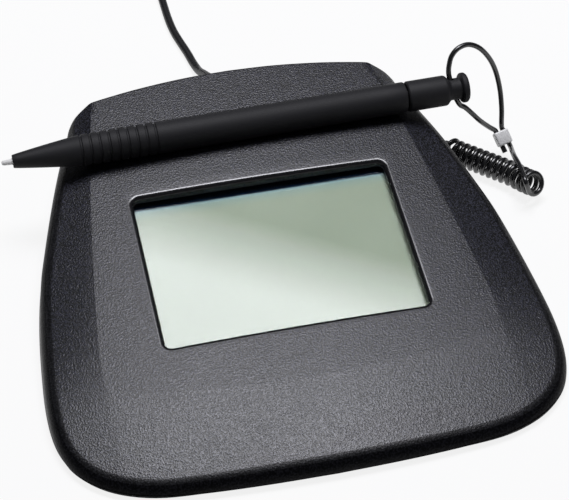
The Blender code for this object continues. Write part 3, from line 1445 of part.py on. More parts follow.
def tie():
    """Flat strap round the coil's bundle."""
    half = COIL_TURNS * COIL_STEP / 2 + CABLE_DIAMETER / 2 + GAP
    low = TIE_THICKNESS
    high = coil_base() + (COIL_LAYERS - 1) * COIL_STEP + CABLE_DIAMETER / 2 + GAP
    corner = CABLE_DIAMETER / 2

    def section(grow, across):
        ring = []
        w, top, bottom, r = half + grow, high + grow, low - grow, corner + grow
        for cx, cz, start in ((w - r, top - r, 0.0), (-w + r, top - r, 0.5),
                              (-w + r, bottom + r, 1.0), (w - r, bottom + r, 1.5)):
            for k in range(TIE_CORNER_STEPS + 1):
                t = math.pi * (start + k / (2 * TIE_CORNER_STEPS))
                ring.append((cx + r * math.cos(t), across, cz + r * math.sin(t)))
        return ring

    side = TIE_WIDTH / 2
    rings = [section(0.0, -side), section(TIE_THICKNESS, -side),
             section(TIE_THICKNESS, side), section(0.0, side)]
    obj = ring_solid("cable_tie", rings, "smooth_black")
    x, y = COIL_CENTRE
    place = (x + COIL_MID_RADIUS * math.cos(TIE_ANGLE), y + COIL_MID_RADIUS * math.sin(TIE_ANGLE),
             0.0)
    obj.matrix_world = Matrix.Translation(place) @ Matrix.Rotation(TIE_ANGLE, 4, 'Z')


def rounded_section(width, height, corner, along_x):
    """A rounded rectangle across the plug's length."""
    ring = []
    w, h, r = width / 2, height / 2, corner
    for cy, cz, start in ((w - r, h - r, 0.0), (-w + r, h - r, 0.5),
                          (-w + r, -h + r, 1.0), (w - r, -h + r, 1.5)):
        for k in range(PLUG_CORNER_STEPS + 1):
            t = math.pi * (start + k / (2 * PLUG_CORNER_STEPS))
            ring.append((along_x, cy + r * math.cos(t), cz + r * math.sin(t)))
    return ring


def plug():
    """USB plug: overmould with a tapered neck, metal shell and contact tongue."""
    place, way = plug_start()
    width, height = PLUG_BODY
    round_corner = PLUG_NECK / 2 - GAP / 2
    rings = [rounded_section(PLUG_NECK, PLUG_NECK, round_corner, 0.0),
             rounded_section(PLUG_NECK_END, PLUG_NECK_END, round_corner, PLUG_NECK_LENGTH),
             rounded_section(*PLUG_SHOULDER, PLUG_CORNER, PLUG_TAPER_LENGTH),
             rounded_section(width, height, PLUG_CORNER, PLUG_TAPER_LENGTH + PLUG_CORNER),
             rounded_section(width, height, PLUG_CORNER, PLUG_TAPER_LENGTH + PLUG_BODY_LENGTH)]
    put(capped_solid("plug_body", rings, "cord_black"), place, way)
    start = PLUG_TAPER_LENGTH + PLUG_BODY_LENGTH + GAP
    end = start + PLUG_SHELL_LENGTH
    outer_w, outer_h = PLUG_SHELL
    inner_w, inner_h = outer_w - 2 * PLUG_SHELL_WALL, outer_h - 2 * PLUG_SHELL_WALL
    corner = PLUG_SHELL_WALL * 2
    shell = capped_solid("plug_shell", [rounded_section(outer_w, outer_h, corner, start),
                                        rounded_section(outer_w, outer_h, corner, end)], "steel")
    back = start + 2 * PLUG_SHELL_WALL
    hollow = capped_solid("cut_plug_mouth",
                          [rounded_section(inner_w, inner_h, corner / 2, back),
                           rounded_section(inner_w, inner_h, corner / 2, end + OVERRUN)], None)
    put(hollow, place, way)
    put(shell, place, way)
    cut(shell, hollow)
    low = -inner_h / 2 + GAP
    tongue = box("plug_tongue", (back + GAP, -inner_w / 2 + GAP, low),
                 (end - GAP, inner_w / 2 - GAP, low + PLUG_TONGUE_HEIGHT), "white_plastic")
    put(tongue, place, way)


def main():
    for obj in list(bpy.data.objects):
        bpy.data.objects.remove(obj, do_unlink=True)
    face = empty("face_frame", (0.0, 0.0, FACE_HEIGHT), (FACE_SLOPE, 0.0, 0.0))
    pen_axis = empty("pen_axis", pen_tip_place(), (0.0, 0.0, PEN_YAW))
    top_housing()
    base_housing()
    feet()
    case_screws()
    display(face)
    display_tray(face)
    tray_screws()
    main_board()
    board_parts()
    display_ribbon()
    pen(pen_axis)
    tether()
    usb_cable()
    bpy.context.view_layer.update()


main()
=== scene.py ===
"""Looks of the signature pad with a tethered pen: camera, cords, fine surfaces and materials."""

import math

import bmesh
import bpy
import numpy as np
from mathutils import Matrix, Vector


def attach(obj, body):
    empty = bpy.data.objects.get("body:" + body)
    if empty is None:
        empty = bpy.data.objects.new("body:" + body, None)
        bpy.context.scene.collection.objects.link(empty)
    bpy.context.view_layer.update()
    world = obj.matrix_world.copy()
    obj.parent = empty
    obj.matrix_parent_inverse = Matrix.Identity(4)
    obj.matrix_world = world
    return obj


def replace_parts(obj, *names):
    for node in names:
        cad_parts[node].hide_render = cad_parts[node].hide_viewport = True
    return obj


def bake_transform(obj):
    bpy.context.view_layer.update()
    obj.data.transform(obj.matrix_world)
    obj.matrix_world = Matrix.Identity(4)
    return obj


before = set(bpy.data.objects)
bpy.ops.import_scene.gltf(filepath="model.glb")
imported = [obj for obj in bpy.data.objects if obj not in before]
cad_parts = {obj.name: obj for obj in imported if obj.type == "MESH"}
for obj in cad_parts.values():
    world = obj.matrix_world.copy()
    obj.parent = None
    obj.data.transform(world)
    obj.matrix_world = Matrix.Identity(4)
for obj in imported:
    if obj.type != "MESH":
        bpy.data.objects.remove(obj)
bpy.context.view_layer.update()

GAP = 0.0003  # room left between pieces
OVERRUN = 0.002  # how far a cutting tool reaches past what it cuts


# Sizes, in metres and radians. Table frame: x to the right, y to the rear, z up. Face frame
# (u, v, w): the same frame lifted by FACE_HEIGHT and tilted by FACE_SLOPE about x.

FACE_HEIGHT = 0.0180
FACE_SLOPE = math.radians(8.0)
CROWN_RADIUS = 1.0  # the face is crowned from side to side
SKIRT_HEIGHT = 0.002  # lower edge of the shell
SKIRT_INSET = 0.0002
SKIRT_CHAMFER = 0.0003
SIDE_DRAFT = math.radians(8.0)
REAR_DRAFT = math.radians(3.0)
SHELL_WALL = 0.0022
BASE_THICKNESS = 0.0015
HALF_WIDTH = 0.0755
HALF_DEPTH = 0.0737
OUTLINE_SHARES = (  # right half of the skirt's outline, from the rear
    (0.000, 1.013), (0.192, 1.007), (0.382, 0.990), (0.535, 0.968), (0.625, 0.951),
    (0.681, 0.935), (0.719, 0.901), (0.742, 0.855), (0.762, 0.804), (0.783, 0.747),
    (0.828, 0.593), (0.871, 0.434), (0.911, 0.275), (0.945, 0.124), (0.973, -0.081),
    (0.992, -0.300), (1.000, -0.477), (0.993, -0.613), (0.970, -0.714), (0.926, -0.801),
    (0.859, -0.871), (0.769, -0.926), (0.650, -0.965), (0.490, -0.985), (0.265, -0.998),
    (0.000, -1.004),
)
REAR_CORNER_END_SHARE = 0.788  # corners of the outline, in half depths
FRONT_CORNER_START_SHARE = -0.613
FRONT_CORNER_END_SHARE = -0.928
EDGE_RADIUS = 0.0036  # roll of the edge at the sides and the front
REAR_EDGE_RADIUS = 0.0008

FACE_REAR_HALF = 0.045  # half width of the face between the facets
FACE_FRONT_HALF = 0.058
FACET_BOW = 0.001
FACET_FRONT_Y = -0.026
FACET_REAR_SLOPE = math.radians(31.0)
FACET_MID_SLOPE = math.radians(11.0)
FACET_FRONT_SLOPE = math.radians(2.0)
FACET_SLOPE_SHARES = (-0.80, 0.0, 0.47, 0.93)  # front, middle, back, rear, in half depths
FACET_REAR_Y = HALF_DEPTH * FACET_SLOPE_SHARES[3]
FACET_SOFT = 0.0004  # the facet's edge is rounded over this width at the rear
FACET_SOFT_GAIN = 0.0050  # and over this much more at the front
FACET_SOFT_Y = 0.030  # it grows from here
FACET_SOFT_REACH = 0.075
CREASE_Y = -0.0457
CREASE_RISE = 0.0071  # how much further back the crease lies at the face's sides
CREASE_CORNER = 0.009
CREASE_SOFT = 0.0030
CREASE_REACH = 0.012  # the palm rest starts this far behind the crease
PALM_SLOPE = math.radians(3.0)
PALM_RADIUS = 0.8
REAR_BORDER = 0.0045  # from the rear edge to the face's border ring
BORDER_CORNER = 2.5 * REAR_BORDER

WINDOW_HALF_WIDTH = 0.039
WINDOW_HALF_DEPTH = 0.02775
WINDOW_CORNER = 0.0020
RIM_RADIUS = 0.0015
COLLAR_WALL = 0.0016
COLLAR_DEPTH = 0.0029

STEPS = (26, 24, 46, 34, 24)  # points of a half ring: rear, corner, side, corner, front
ROLL_STEPS = 10
RIM_STEPS = 8
FACET_RING_SHARES = (0.05, 0.12, 0.2, 0.3, 0.4, 0.5, 0.6, 0.7, 0.78, 0.85, 0.9, 0.94, 0.97,
                     0.985, 1.0)
FACE_RING_SHARES = (0.01, 0.02, 0.04, 0.07, 0.11, 0.16, 0.22, 0.3, 0.4, 0.52, 0.65, 0.78, 0.9)
SHADE_BAND_RINGS = 9  # the wall and edge get a darker, duller copy of the plastic, painted shade, this many rings up from the skirt
SHADE_FADE_RINGS = 12  # and this painted shade fades into the face by this many
RIM_GLOSS_RINGS = 6  # of the window's glossy rim

PEN_TIP_X = -0.0757
PEN_FACE_V = 0.0472  # the cradle's middle line
PEN_YAW = math.radians(1.13)
GROOVE_DEPTH = 0.0014  # of the cradle
GROOVE_RADIUS = 0.0080
PEN_LENGTH = 0.1473
PEN_GRIP_RADIUS = 0.00490
PEN_REAR_RADIUS = 0.00482
PEN_NOSE_RADIUS = 0.00205
PEN_SHOULDER_RADIUS = 0.00475
NIB_LENGTH = 0.0034
CONE_LENGTH = 0.0206
CONE_BULGE = 0.17
RIB_COUNT = 9
RIB_PITCH = 0.00288
RIB_DEPTH = 0.00045
RIB_CROWN = 0.00006
RIB_GROOVE_SHARE = 0.30
BARREL_END = 0.1270
BARREL_BORE = 0.0033
SEAM_CHAMFER = 0.0004
CAP_START = 0.1276
SPIGOT_RADIUS = 0.003  # of the cap, in the barrel
SPIGOT_LENGTH = 0.008
CAP_SHOULDER = 0.1403
CAP_CHAMFER = 0.0013
NECK_RADIUS = 0.0034
FLANGE_START = 0.1444  # where the solid's neck ends
FLANGE_THICKNESS = 0.0021
FLANGE_RADIUS = 0.00475
FLANGE_EDGE_RADIUS = 0.00425
PEN_EYE_AXIS = Vector((-0.22, 0.41, 0.88)).normalized()  # of the eye in the cap's neck

TETHER_DIAMETER = 0.00165
TETHER_HEIGHT = 0.0065  # of the hole in the right wall
TETHER_WALL_Y = 0.0520
BUSH_FLANGE = 0.0009
BUSH_RADIUS = 0.0019
CURL_RADIUS = 0.00330
CURL_GAP = 0.00054
CURL_RUN_IN = 0.0045  # the curls grow to their full width over this run
CURL_TIGHTEST_SHARE = 0.6
CURL_PHASE = math.radians(24.0)
CURL_POINTS = 26  # per turn
FERRULE_SIZE = (0.00485, 0.0031, 0.0040)
FERRULE_CENTRE = Vector((0.0843, 0.0449, 0.0070))
FERRULE_AXIS = Vector((0.26, -0.71, -0.65)).normalized()
FERRULE_CORNER = 0.0005
TETHER_START = (
    (0.0616, 0.0524, 0.0064), (0.0634, 0.0521, 0.0061), (0.0646, 0.0511, 0.0056),
)
TETHER_AXIS = (
    (0.0655, 0.0496, 0.0048), (0.0669, 0.0470, 0.0044), (0.0690, 0.0443, 0.0042),
    (0.0725, 0.0409, 0.0042), (0.0775, 0.0360, 0.0042), (0.0824, 0.0311, 0.0043),
    (0.0839, 0.0291, 0.0045), (0.0851, 0.0269, 0.0049), (0.0860, 0.0249, 0.0055),
    (0.0867, 0.0233, 0.0061), (0.0876, 0.0212, 0.0071),
)
TETHER_LEAD = (
    (0.0835, 0.0190, 0.0105), (0.0837, 0.0230, 0.0110), (0.0840, 0.0277, 0.0105),
    (0.0845, 0.0338, 0.0088),
)
LOOP_LOWER = (
    (0.0798, 0.0464, 0.0113), (0.0762, 0.0453, 0.0155), (0.0733, 0.0453, 0.0191),
    (0.0710, 0.0456, 0.0217), (0.0693, 0.0457, 0.0230),
)
LOOP_UPPER = (
    (0.0666, 0.0511, 0.0362), (0.0678, 0.0523, 0.0384), (0.0703, 0.0535, 0.0398),
    (0.0738, 0.0545, 0.0396), (0.0775, 0.0545, 0.0374), (0.0809, 0.0542, 0.0329),
    (0.0831, 0.0533, 0.0278), (0.0843, 0.0512, 0.0218), (0.0845, 0.0487, 0.0160),
    (0.0843, 0.0472, 0.0120),
)

CABLE_DIAMETER = 0.0028
CABLE_X = -0.0020
CABLE_HEIGHT = 0.0086
BOOT_FLANGE = 0.0012
BOOT_LENGTH = 0.0150
BOOT_HALF = 0.0032
COIL_CENTRE = (-0.0316, 0.1910)
COIL_LAYERS = 4
COIL_TURNS = 3.75  # per layer
COIL_STEP = 0.0033
COIL_MID_RADIUS = 0.0168
COIL_POINTS = 36  # per turn
CLIMB_TURNS = 0.5  # the cord climbs to the next layer over half a turn
RUN_ON_TURN = 0.1  # the coil runs on by this share of a turn
RUN_OUT_SHARES = (0.30, 0.60, 0.85)
RUN_OUT_HASTE = 1.6  # the way to the plug swings out this much sooner than it rises
TIE_THICKNESS = 0.0008
PLUG_HEIGHT = 0.0080
CABLE_ROUTE = (
    (-0.0023, 0.0962, 0.0076), (-0.0030, 0.1008, 0.0053), (-0.0038, 0.1060, 0.0027),
    (-0.0047, 0.1120, 0.0016), (-0.0056, 0.1180, 0.0015), (-0.0070, 0.1250, 0.0015),
    (-0.0080, 0.1310, 0.0015), (-0.0085, 0.1380, 0.0015), (-0.0086, 0.1460, 0.0015),
    (-0.0086, 0.1540, 0.0017), (-0.0086, 0.1640, 0.0021), (-0.0086, 0.1760, 0.0026),
)


def placed(name, data):
    """A new object in the scene."""
    obj = bpy.data.objects.new(name, data)
    bpy.context.scene.collection.objects.link(obj)
    return obj


# Camera

CAMERA_LENS = 121.56  # mm, on a sensor 36 mm wide
CAMERA_PLACE = (-0.0881395, -0.397628, 0.4148029)
CAMERA_RIGHT = Vector((0.97473, -0.223368, -0.002953)).normalized()
CAMERA_BACK = Vector((-0.157889, -0.698224, 0.698251)).normalized()


def add_camera():
    """The photograph's viewpoint, fitted to the housing and its window."""
    data = bpy.data.cameras.new("camera")
    data.sensor_width = 36.0
    data.lens = CAMERA_LENS
    cam = placed("camera", data)
    up = CAMERA_BACK.cross(CAMERA_RIGHT).normalized()
    turn = Matrix((CAMERA_RIGHT, up, CAMERA_BACK)).transposed().to_4x4()
    cam.matrix_world = Matrix.Translation(CAMERA_PLACE) @ turn
    bpy.context.scene.camera = cam


add_camera()


# Curves

def curve_through(points, steps):
    """A smooth curve through the points, each span cut into equal steps."""
    pts = np.array([tuple(p) for p in points], float)
    pts = np.vstack([2 * pts[0] - pts[1], pts, 2 * pts[-1] - pts[-2]])
    out = []
    for i in range(1, len(pts) - 2):
        p0, p1, p2, p3 = pts[i - 1:i + 3]
        for k in range(steps):
            t = k / steps
            out.append(0.5 * (2 * p1 + (p2 - p0) * t + (2 * p0 - 5 * p1 + 4 * p2 - p3) * t ** 2
                              + (3 * p1 - p0 - 3 * p2 + p3) * t ** 3))
    out.append(pts[-2])
    return np.array(out)


def run_along(points):
    return np.r_[0.0, np.cumsum(np.linalg.norm(np.diff(points, axis=0), axis=1))]


def sample(points, start, stop, steps):
    run = run_along(points)
    at = np.linspace(start, stop, steps + 1)
    return np.column_stack([np.interp(at, run, column) for column in points.T])


def unit(v):
    return v / np.linalg.norm(v)


def ways(points):
    """The unit direction of a line at each of its points."""
    steps = np.gradient(points, axis=0)
    return steps / np.linalg.norm(steps, axis=1)[:, None]


def smoothstep(t):
    t = min(max(t, 0.0), 1.0)
    return t * t * (3.0 - 2.0 * t)


# Mesh helpers

def smoothed(mesh, angle):
    """Smooth shading apart from edges sharper than this."""
    mesh.shade_smooth()
    mesh.set_sharp_from_angle(angle=math.radians(angle))


def finished(name, bm, mat=None, body=None, angle=30.0):
    """Make an object of a bmesh, riding on a body; a tool for a cut has no material or body."""
    bmesh.ops.recalc_face_normals(bm, faces=bm.faces)
    mesh = bpy.data.meshes.new(name)
    bm.to_mesh(mesh)
    bm.free()
    obj = placed(name, mesh)
    mesh.shade_smooth()
    if mat:
        mesh.materials.append(mat)
        smoothed(mesh, angle)
    if body:
        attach(obj, body)
    return obj


def skin(rings, round_again=False):
    """A bmesh whose skin runs through closed rings, and back to the first one or to flat ends."""
    bm = bmesh.new()
    loops = [[bm.verts.new(p) for p in ring] for ring in rings]
    pairs = list(zip(loops, loops[1:]))
    if round_again:
        pairs.append((loops[-1], loops[0]))
    for a, b in pairs:
        for i in range(len(a)):
            j = (i + 1) % len(a)
            bm.faces.new((a[i], a[j], b[j], b[i]))
    if not round_again:
        bm.faces.new(loops[0])
        bm.faces.new(loops[-1])
    return bm


def turned(profile, sides, matrix):
    """A bmesh turned about local X from (along, radius) points, closed at both ends."""
    bm = bmesh.new()
    loops = []
    for x, radius in profile:
        if radius <= 0:
            loops.append([bm.verts.new((x, 0.0, 0.0))])
            continue
        loops.append([bm.verts.new((x, radius * math.cos(2 * math.pi * k / sides),
                                    radius * math.sin(2 * math.pi * k / sides)))
                      for k in range(sides)])
    for a, b in zip(loops, loops[1:]):
        for i in range(sides):
            j = (i + 1) % sides
            if len(a) == 1:
                bm.faces.new((a[0], b[i], b[j]))
            elif len(b) == 1:
                bm.faces.new((a[i], a[j], b[0]))
            else:
                bm.faces.new((a[i], a[j], b[j], b[i]))
    for loop in (loops[0], loops[-1]):
        if len(loop) > 1:
            bm.faces.new(loop)
    bmesh.ops.transform(bm, matrix=matrix, verts=bm.verts)
    return bm


def rounded_profile(points, radius_at, steps):
    """A profile with the corners named in radius_at rounded."""
    out = []
    for i, p in enumerate(points):
        r = radius_at.get(i, 0.0)
        if r <= 0:
            out.append(p)
            continue
        p, a, b = Vector(p), Vector(points[i - 1]), Vector(points[i + 1])
        r = min(r, (a - p).length * 0.49, (b - p).length * 0.49)
        start, end = p + (a - p).normalized() * r, p + (b - p).normalized() * r
        for k in range(steps + 1):
            t = k / steps
            q = start * (1 - t) ** 2 + p * 2 * t * (1 - t) + end * t ** 2
            out.append((q.x, q.y))
    return out


def rod(start, stop, radius, sides):
    reach = Vector(stop) - Vector(start)
    turn = reach.to_track_quat('X', 'Z').to_matrix().to_4x4()
    return turned([(0.0, radius), (reach.length, radius)], sides,
                  Matrix.Translation(start) @ turn)


def block(low, high):
    bm = bmesh.new()
    bmesh.ops.create_cube(bm, size=1.0)
    bmesh.ops.scale(bm, vec=[b - a for a, b in zip(low, high)], verts=bm.verts)
    bmesh.ops.translate(bm, vec=[(a + b) / 2 for a, b in zip(low, high)], verts=bm.verts)
    return bm


def carve(obj, tools, angle=30.0):
    """Apply cuts for good, then mark the sharp edges again."""
    made = [finished("tool", bm) for bm in tools]
    for tool in made:
        step = obj.modifiers.new("cut", 'BOOLEAN')
        step.operation = 'DIFFERENCE'
        step.solver = 'EXACT'
        step.object = tool
    bpy.context.view_layer.update()
    whole = obj.evaluated_get(bpy.context.evaluated_depsgraph_get())
    mesh = bpy.data.meshes.new_from_object(whole)
    obj.modifiers.clear()
    obj.data = mesh
    for tool in made:
        bpy.data.objects.remove(tool, do_unlink=True)
    smoothed(mesh, angle)


# Materials

def lin(value):
    """A linear colour from display numbers, 11 to 255."""
    return tuple(((v / 255 + 0.055) / 1.055) ** 2.4 for v in value)


def set_stops(ramp, stops):
    """Give a colour ramp these stops."""
    while len(ramp.elements) < len(stops):
        ramp.elements.new(0.5)
    for slot, (at, tint) in zip(ramp.elements, stops):
        slot.position = at
        slot.color = (*tint, 1.0)


class Mat:
    """A Principled material with a few helpers for its node tree."""

    def __init__(self, name, colour, roughness, metallic=0.0, **sockets):
        self.mat = bpy.data.materials.new(name)
        self.mat.use_nodes = True
        self.nodes = self.mat.node_tree.nodes
        self.links = self.mat.node_tree.links
        self.shader = self.nodes["Principled BSDF"]
        self.shader.inputs["Base Color"].default_value = (*colour, 1.0)
        self.shader.inputs["Roughness"].default_value = roughness
        self.shader.inputs["Metallic"].default_value = metallic
        for key, value in sockets.items():
            self.shader.inputs[key.replace("_", " ")].default_value = value
        self.where = self.nodes.new("ShaderNodeTexCoord").outputs["Object"]

    def add(self, kind, links=(), **values):
        node = self.nodes.new("ShaderNode" + kind)
        for key, value in values.items():
            if key.startswith("in_"):
                node.inputs[key[3:].replace("_", " ")].default_value = value
            else:
                setattr(node, key, value)
        for name, source in links:
            self.links.new(source, node.inputs[name])
        return node

    def noise(self, scale, detail=2.0, rough=0.5):
        return self.add("TexNoise", [("Vector", self.where)], in_Scale=scale, in_Detail=detail,
                        in_Roughness=rough).outputs["Fac"]

    def cells(self, scale, smooth):
        return self.add("TexVoronoi", [("Vector", self.where)], feature='SMOOTH_F1',
                        in_Scale=scale, in_Smoothness=smooth).outputs["Distance"]

    def ranged(self, source, low, high, to_low, to_high):
        return self.add("MapRange", [("Value", source)], in_From_Min=low, in_From_Max=high,
                        in_To_Min=to_low, in_To_Max=to_high).outputs["Result"]

    def sum(self, a, b, share):
        """Two values mixed, the second one with this share."""
        node = self.add("Mix", data_type='FLOAT')
        node.inputs[0].default_value = share
        self.links.new(a, node.inputs[2])
        self.links.new(b, node.inputs[3])
        return node.outputs[0]

    def bump(self, height, strength, distance):
        node = self.add("Bump", [("Height", height)], in_Strength=strength, in_Distance=distance)
        self.links.new(node.outputs["Normal"], self.shader.inputs["Normal"])

    def calc(self, operation, a, b):
        """An operation on two values, each from a socket or given as a number."""
        node = self.add("Math", operation=operation)
        for socket, value in zip(node.inputs, (a, b)):
            if isinstance(value, float):
                socket.default_value = value
            else:
                self.links.new(value, socket)
        return node.outputs[0]

    def layered(self, share, under, over):
        """Show one shader over another one by a share."""
        mix = self.add("MixShader", [("Fac", share)])
        self.links.new(under, mix.inputs[1])
        self.links.new(over, mix.inputs[2])
        self.links.new(mix.outputs["Shader"], self.nodes["Material Output"].inputs["Surface"])

    def rough(self, source, low, high, to_low, to_high):
        self.links.new(self.ranged(source, low, high, to_low, to_high),
                       self.shader.inputs["Roughness"])

    def ramp(self, source, stops):
        ramp = self.add("ValToRGB", [("Fac", source)])
        set_stops(ramp.color_ramp, stops)
        return ramp.outputs["Color"]

    def colour(self, source, stops):
        self.links.new(self.ramp(source, stops), self.shader.inputs["Base Color"])


def grained_plastic(name, dark, pale, roughness, grain=1.0, size=0.00055, specular=0.5):
    """Moulded plastic with a fine etched grain, a little mottled, duller in the pits."""
    m = Mat(name, dark, roughness, Specular_IOR_Level=specular)
    pits = m.cells(1 / size, 0.35)
    fine = m.noise(2.2 / size)
    m.bump(m.sum(pits, fine, 0.4), grain, size * 0.25)
    broad = m.noise(28.0, detail=3.0)
    m.rough(m.sum(pits, broad, 0.5), 0.25, 0.75, roughness - 0.06, roughness + 0.08)
    m.colour(m.sum(fine, broad, 0.4), [(0.35, dark), (0.65, pale)])
    return m.mat


def sparked_plastic(name, dark, pale, roughness, specular, depth=0.00014):
    """Spark-eroded grain about half a millimetre across, its tone following its height: crests
    paler as painted highlight, pits darker as painted shade.
    """
    m = Mat(name, dark, roughness, Specular_IOR_Level=specular)
    grain = m.noise(2000.0, detail=1.0, rough=0.6)
    height = m.sum(grain, m.noise(4200.0), 0.2)
    m.bump(height, 1.0, depth)
    broad = m.noise(28.0, detail=3.0)
    m.rough(m.sum(grain, broad, 0.2), 0.3, 0.7, roughness + 0.08, roughness - 0.08)
    # Painted highlight and shade on the grain: the colour follows the bump's height, paler on the
    # crests and darker in the pits.
    m.colour(m.sum(height, broad, 0.04), [(0.48, dark), (0.57, pale)])
    return m.mat


def plain(name, colour, roughness, metallic=0.0, spread=0.05, scale=120.0, bump=0.0,
          **sockets):
    """A surface with faint unevenness in its shade and gloss."""
    m = Mat(name, colour, roughness, metallic, **sockets)
    broad = m.noise(scale, detail=4.0)
    m.rough(broad, 0.3, 0.7, max(roughness - spread, 0.02), roughness + spread)
    m.colour(broad, [(at, tuple(c * share for c in colour))
                     for at, share in ((0.3, 0.9), (0.7, 1.08))])
    if bump:
        m.bump(m.noise(scale * 20), bump, 0.0001)
    return m.mat


def glass_pane():
    """Clear cover glass, faintly smeared, that lets lamp light through."""
    m = Mat("cover_glass", (0.96, 0.98, 0.98), 0.04, Transmission_Weight=1.0, IOR=1.5)
    smear = m.noise(60.0, detail=3.0)
    m.rough(smear, 0.3, 0.7, 0.015, 0.035)
    clear = m.add("BsdfTransparent", in_Color=(0.95, 0.97, 0.97, 1.0))
    m.layered(m.add("LightPath").outputs["Is Shadow Ray"], m.shader.outputs["BSDF"],
              clear.outputs["BSDF"])
    return m.mat


DISPLAY_PITCH = 0.00028
DISPLAY_LINE = 0.00003
# the span over which the painted shadow of the window's rear wall comes in, towards the rear
DISPLAY_WALL_SHADOW_Y = (0.0220, 0.0290)


def display_surface():
    """Reflective liquid crystal: pale green, faint lines between its cells, and painted shade at
    the rear: a navy painted shadow of the window's rear wall, a paler teal line painted for the
    rim's reflection, and a teal fade for the shadow's soft edge.

    The greens are darker than they render: light comes straight through the glass and bent by it.
    """
    m = Mat("display_green", lin((122, 129, 113)), 0.5, Specular_IOR_Level=0.0)
    split = m.add("SeparateXYZ", [("Vector", m.where)])
    lines = []
    for axis in ("X", "Y"):
        wave = m.calc('PINGPONG', split.outputs[axis], DISPLAY_PITCH / 2)
        lines.append(m.ranged(wave, 0.0, DISPLAY_LINE, 0.0, 1.0))
    shade = m.sum(m.calc('MINIMUM', *lines), m.noise(40.0), 0.6)
    green = m.ramp(shade, [(0.2, lin((116, 123, 107))), (0.8, lin((124, 131, 115)))])
    # Painted shade: towards the rear the green turns navy for the rear wall's shadow, with a paler
    # teal line painted for the rim's reflection and a teal fade for the shadow's soft edge.
    rear = m.ranged(split.outputs["Y"], *DISPLAY_WALL_SHADOW_Y, 0.0, 1.0)
    border = m.ramp(rear, [(0.10, (1.0, 1.0, 1.0)), (0.50, (0.86, 0.98, 1.10)),
                           (0.62, (0.80, 1.05, 1.45)), (0.69, (0.02, 0.05, 0.15))])
    tint = m.add("VectorMath", operation='MULTIPLY')
    m.links.new(green, tint.inputs[0])
    m.links.new(border, tint.inputs[1])
    m.links.new(tint.outputs["Vector"], m.shader.inputs["Base Color"])
    return m.mat


MATS = {
    "housing": sparked_plastic("housing_grained", (0.001, 0.001, 0.0015), (0.032, 0.033, 0.046),
                               0.31, 0.42),
    "rim": sparked_plastic("housing_rim", (0.004, 0.004, 0.005), (0.012, 0.012, 0.014), 0.20, 0.70,
                           0.00002),
    # Painted shade: darker, duller copies of the housing plastic for the wall and rolled edge, and
    # for their fade into the face.
    "edge_shade_band": sparked_plastic("housing_edges_shaded", (0.001, 0.001, 0.0015), (0.008, 0.008, 0.010),
                                 0.40, 0.08),
    "edge_shade_fade": sparked_plastic("housing_edge_fade", (0.001, 0.001, 0.0015),
                                 (0.015, 0.015, 0.018), 0.38, 0.25),
    "base": grained_plastic("base_satin", (0.014, 0.014, 0.015), (0.022, 0.022, 0.023), 0.45,
                            grain=0.4, size=0.0004),
    "pen": grained_plastic("pen_soft_touch", (0.009, 0.009, 0.0105), (0.014, 0.014, 0.016), 0.62,
                           grain=0.25, size=0.0002, specular=0.3),
    "rubber": plain("rubber_black", (0.015,) * 3, 0.8, bump=0.3),
    "cord": plain("cord_gloss", (0.008, 0.008, 0.009), 0.26, spread=0.03,
                  Specular_IOR_Level=0.85),
    "usb": plain("usb_satin", (0.010, 0.010, 0.011), 0.42, bump=0.15),
    "tie": plain("tie_black", (0.02,) * 3, 0.4),
    "nib": plain("nib_white", (0.78, 0.78, 0.76), 0.3),
    "glass": glass_pane(),
    "display": display_surface(),
    "white": plain("white_plastic", (0.8,) * 3, 0.45),
    "board": plain("solder_mask", (0.03, 0.16, 0.07), 0.4),
    "chip": plain("chip_black", (0.03,) * 3, 0.55, bump=0.3),
    "amber": plain("film_amber", (0.55, 0.30, 0.06), 0.3),
    "steel": plain("zinc_steel", (0.62, 0.62, 0.64), 0.3, 1.0),
    "aluminium": plain("satin_aluminium", (0.84, 0.84, 0.83), 0.5, 0.25,
                       scale=900.0, bump=0.3),
}


# Lines that the cords follow, and places they share with the shapes

def outline_line():
    return curve_through(np.array(OUTLINE_SHARES) * (HALF_WIDTH, HALF_DEPTH), 8)


def to_table(u, v, w):
    """A point of the face frame in the table's frame."""
    c, s = math.cos(FACE_SLOPE), math.sin(FACE_SLOPE)
    return Vector((u, v * c - w * s, FACE_HEIGHT + v * s + w * c))


def tether_wall():
    """Middle of the tether's hole on the outer face of the right wall, and the way out."""
    line = outline_line()
    side = line[(line[:, 1] > 0) & (line[:, 0] > FACE_REAR_HALF)]
    near = int(np.argmin(np.abs(side[:, 1] - TETHER_WALL_Y)))
    step = side[near + 1] - side[near - 1]
    out = np.array([-step[1], step[0]]) / np.linalg.norm(step)
    inset = (TETHER_HEIGHT - SKIRT_HEIGHT) * math.tan(SIDE_DRAFT)
    x, y = side[near] - out * inset
    return Vector((x, y, TETHER_HEIGHT)), Vector((out[0], out[1], 0.0))


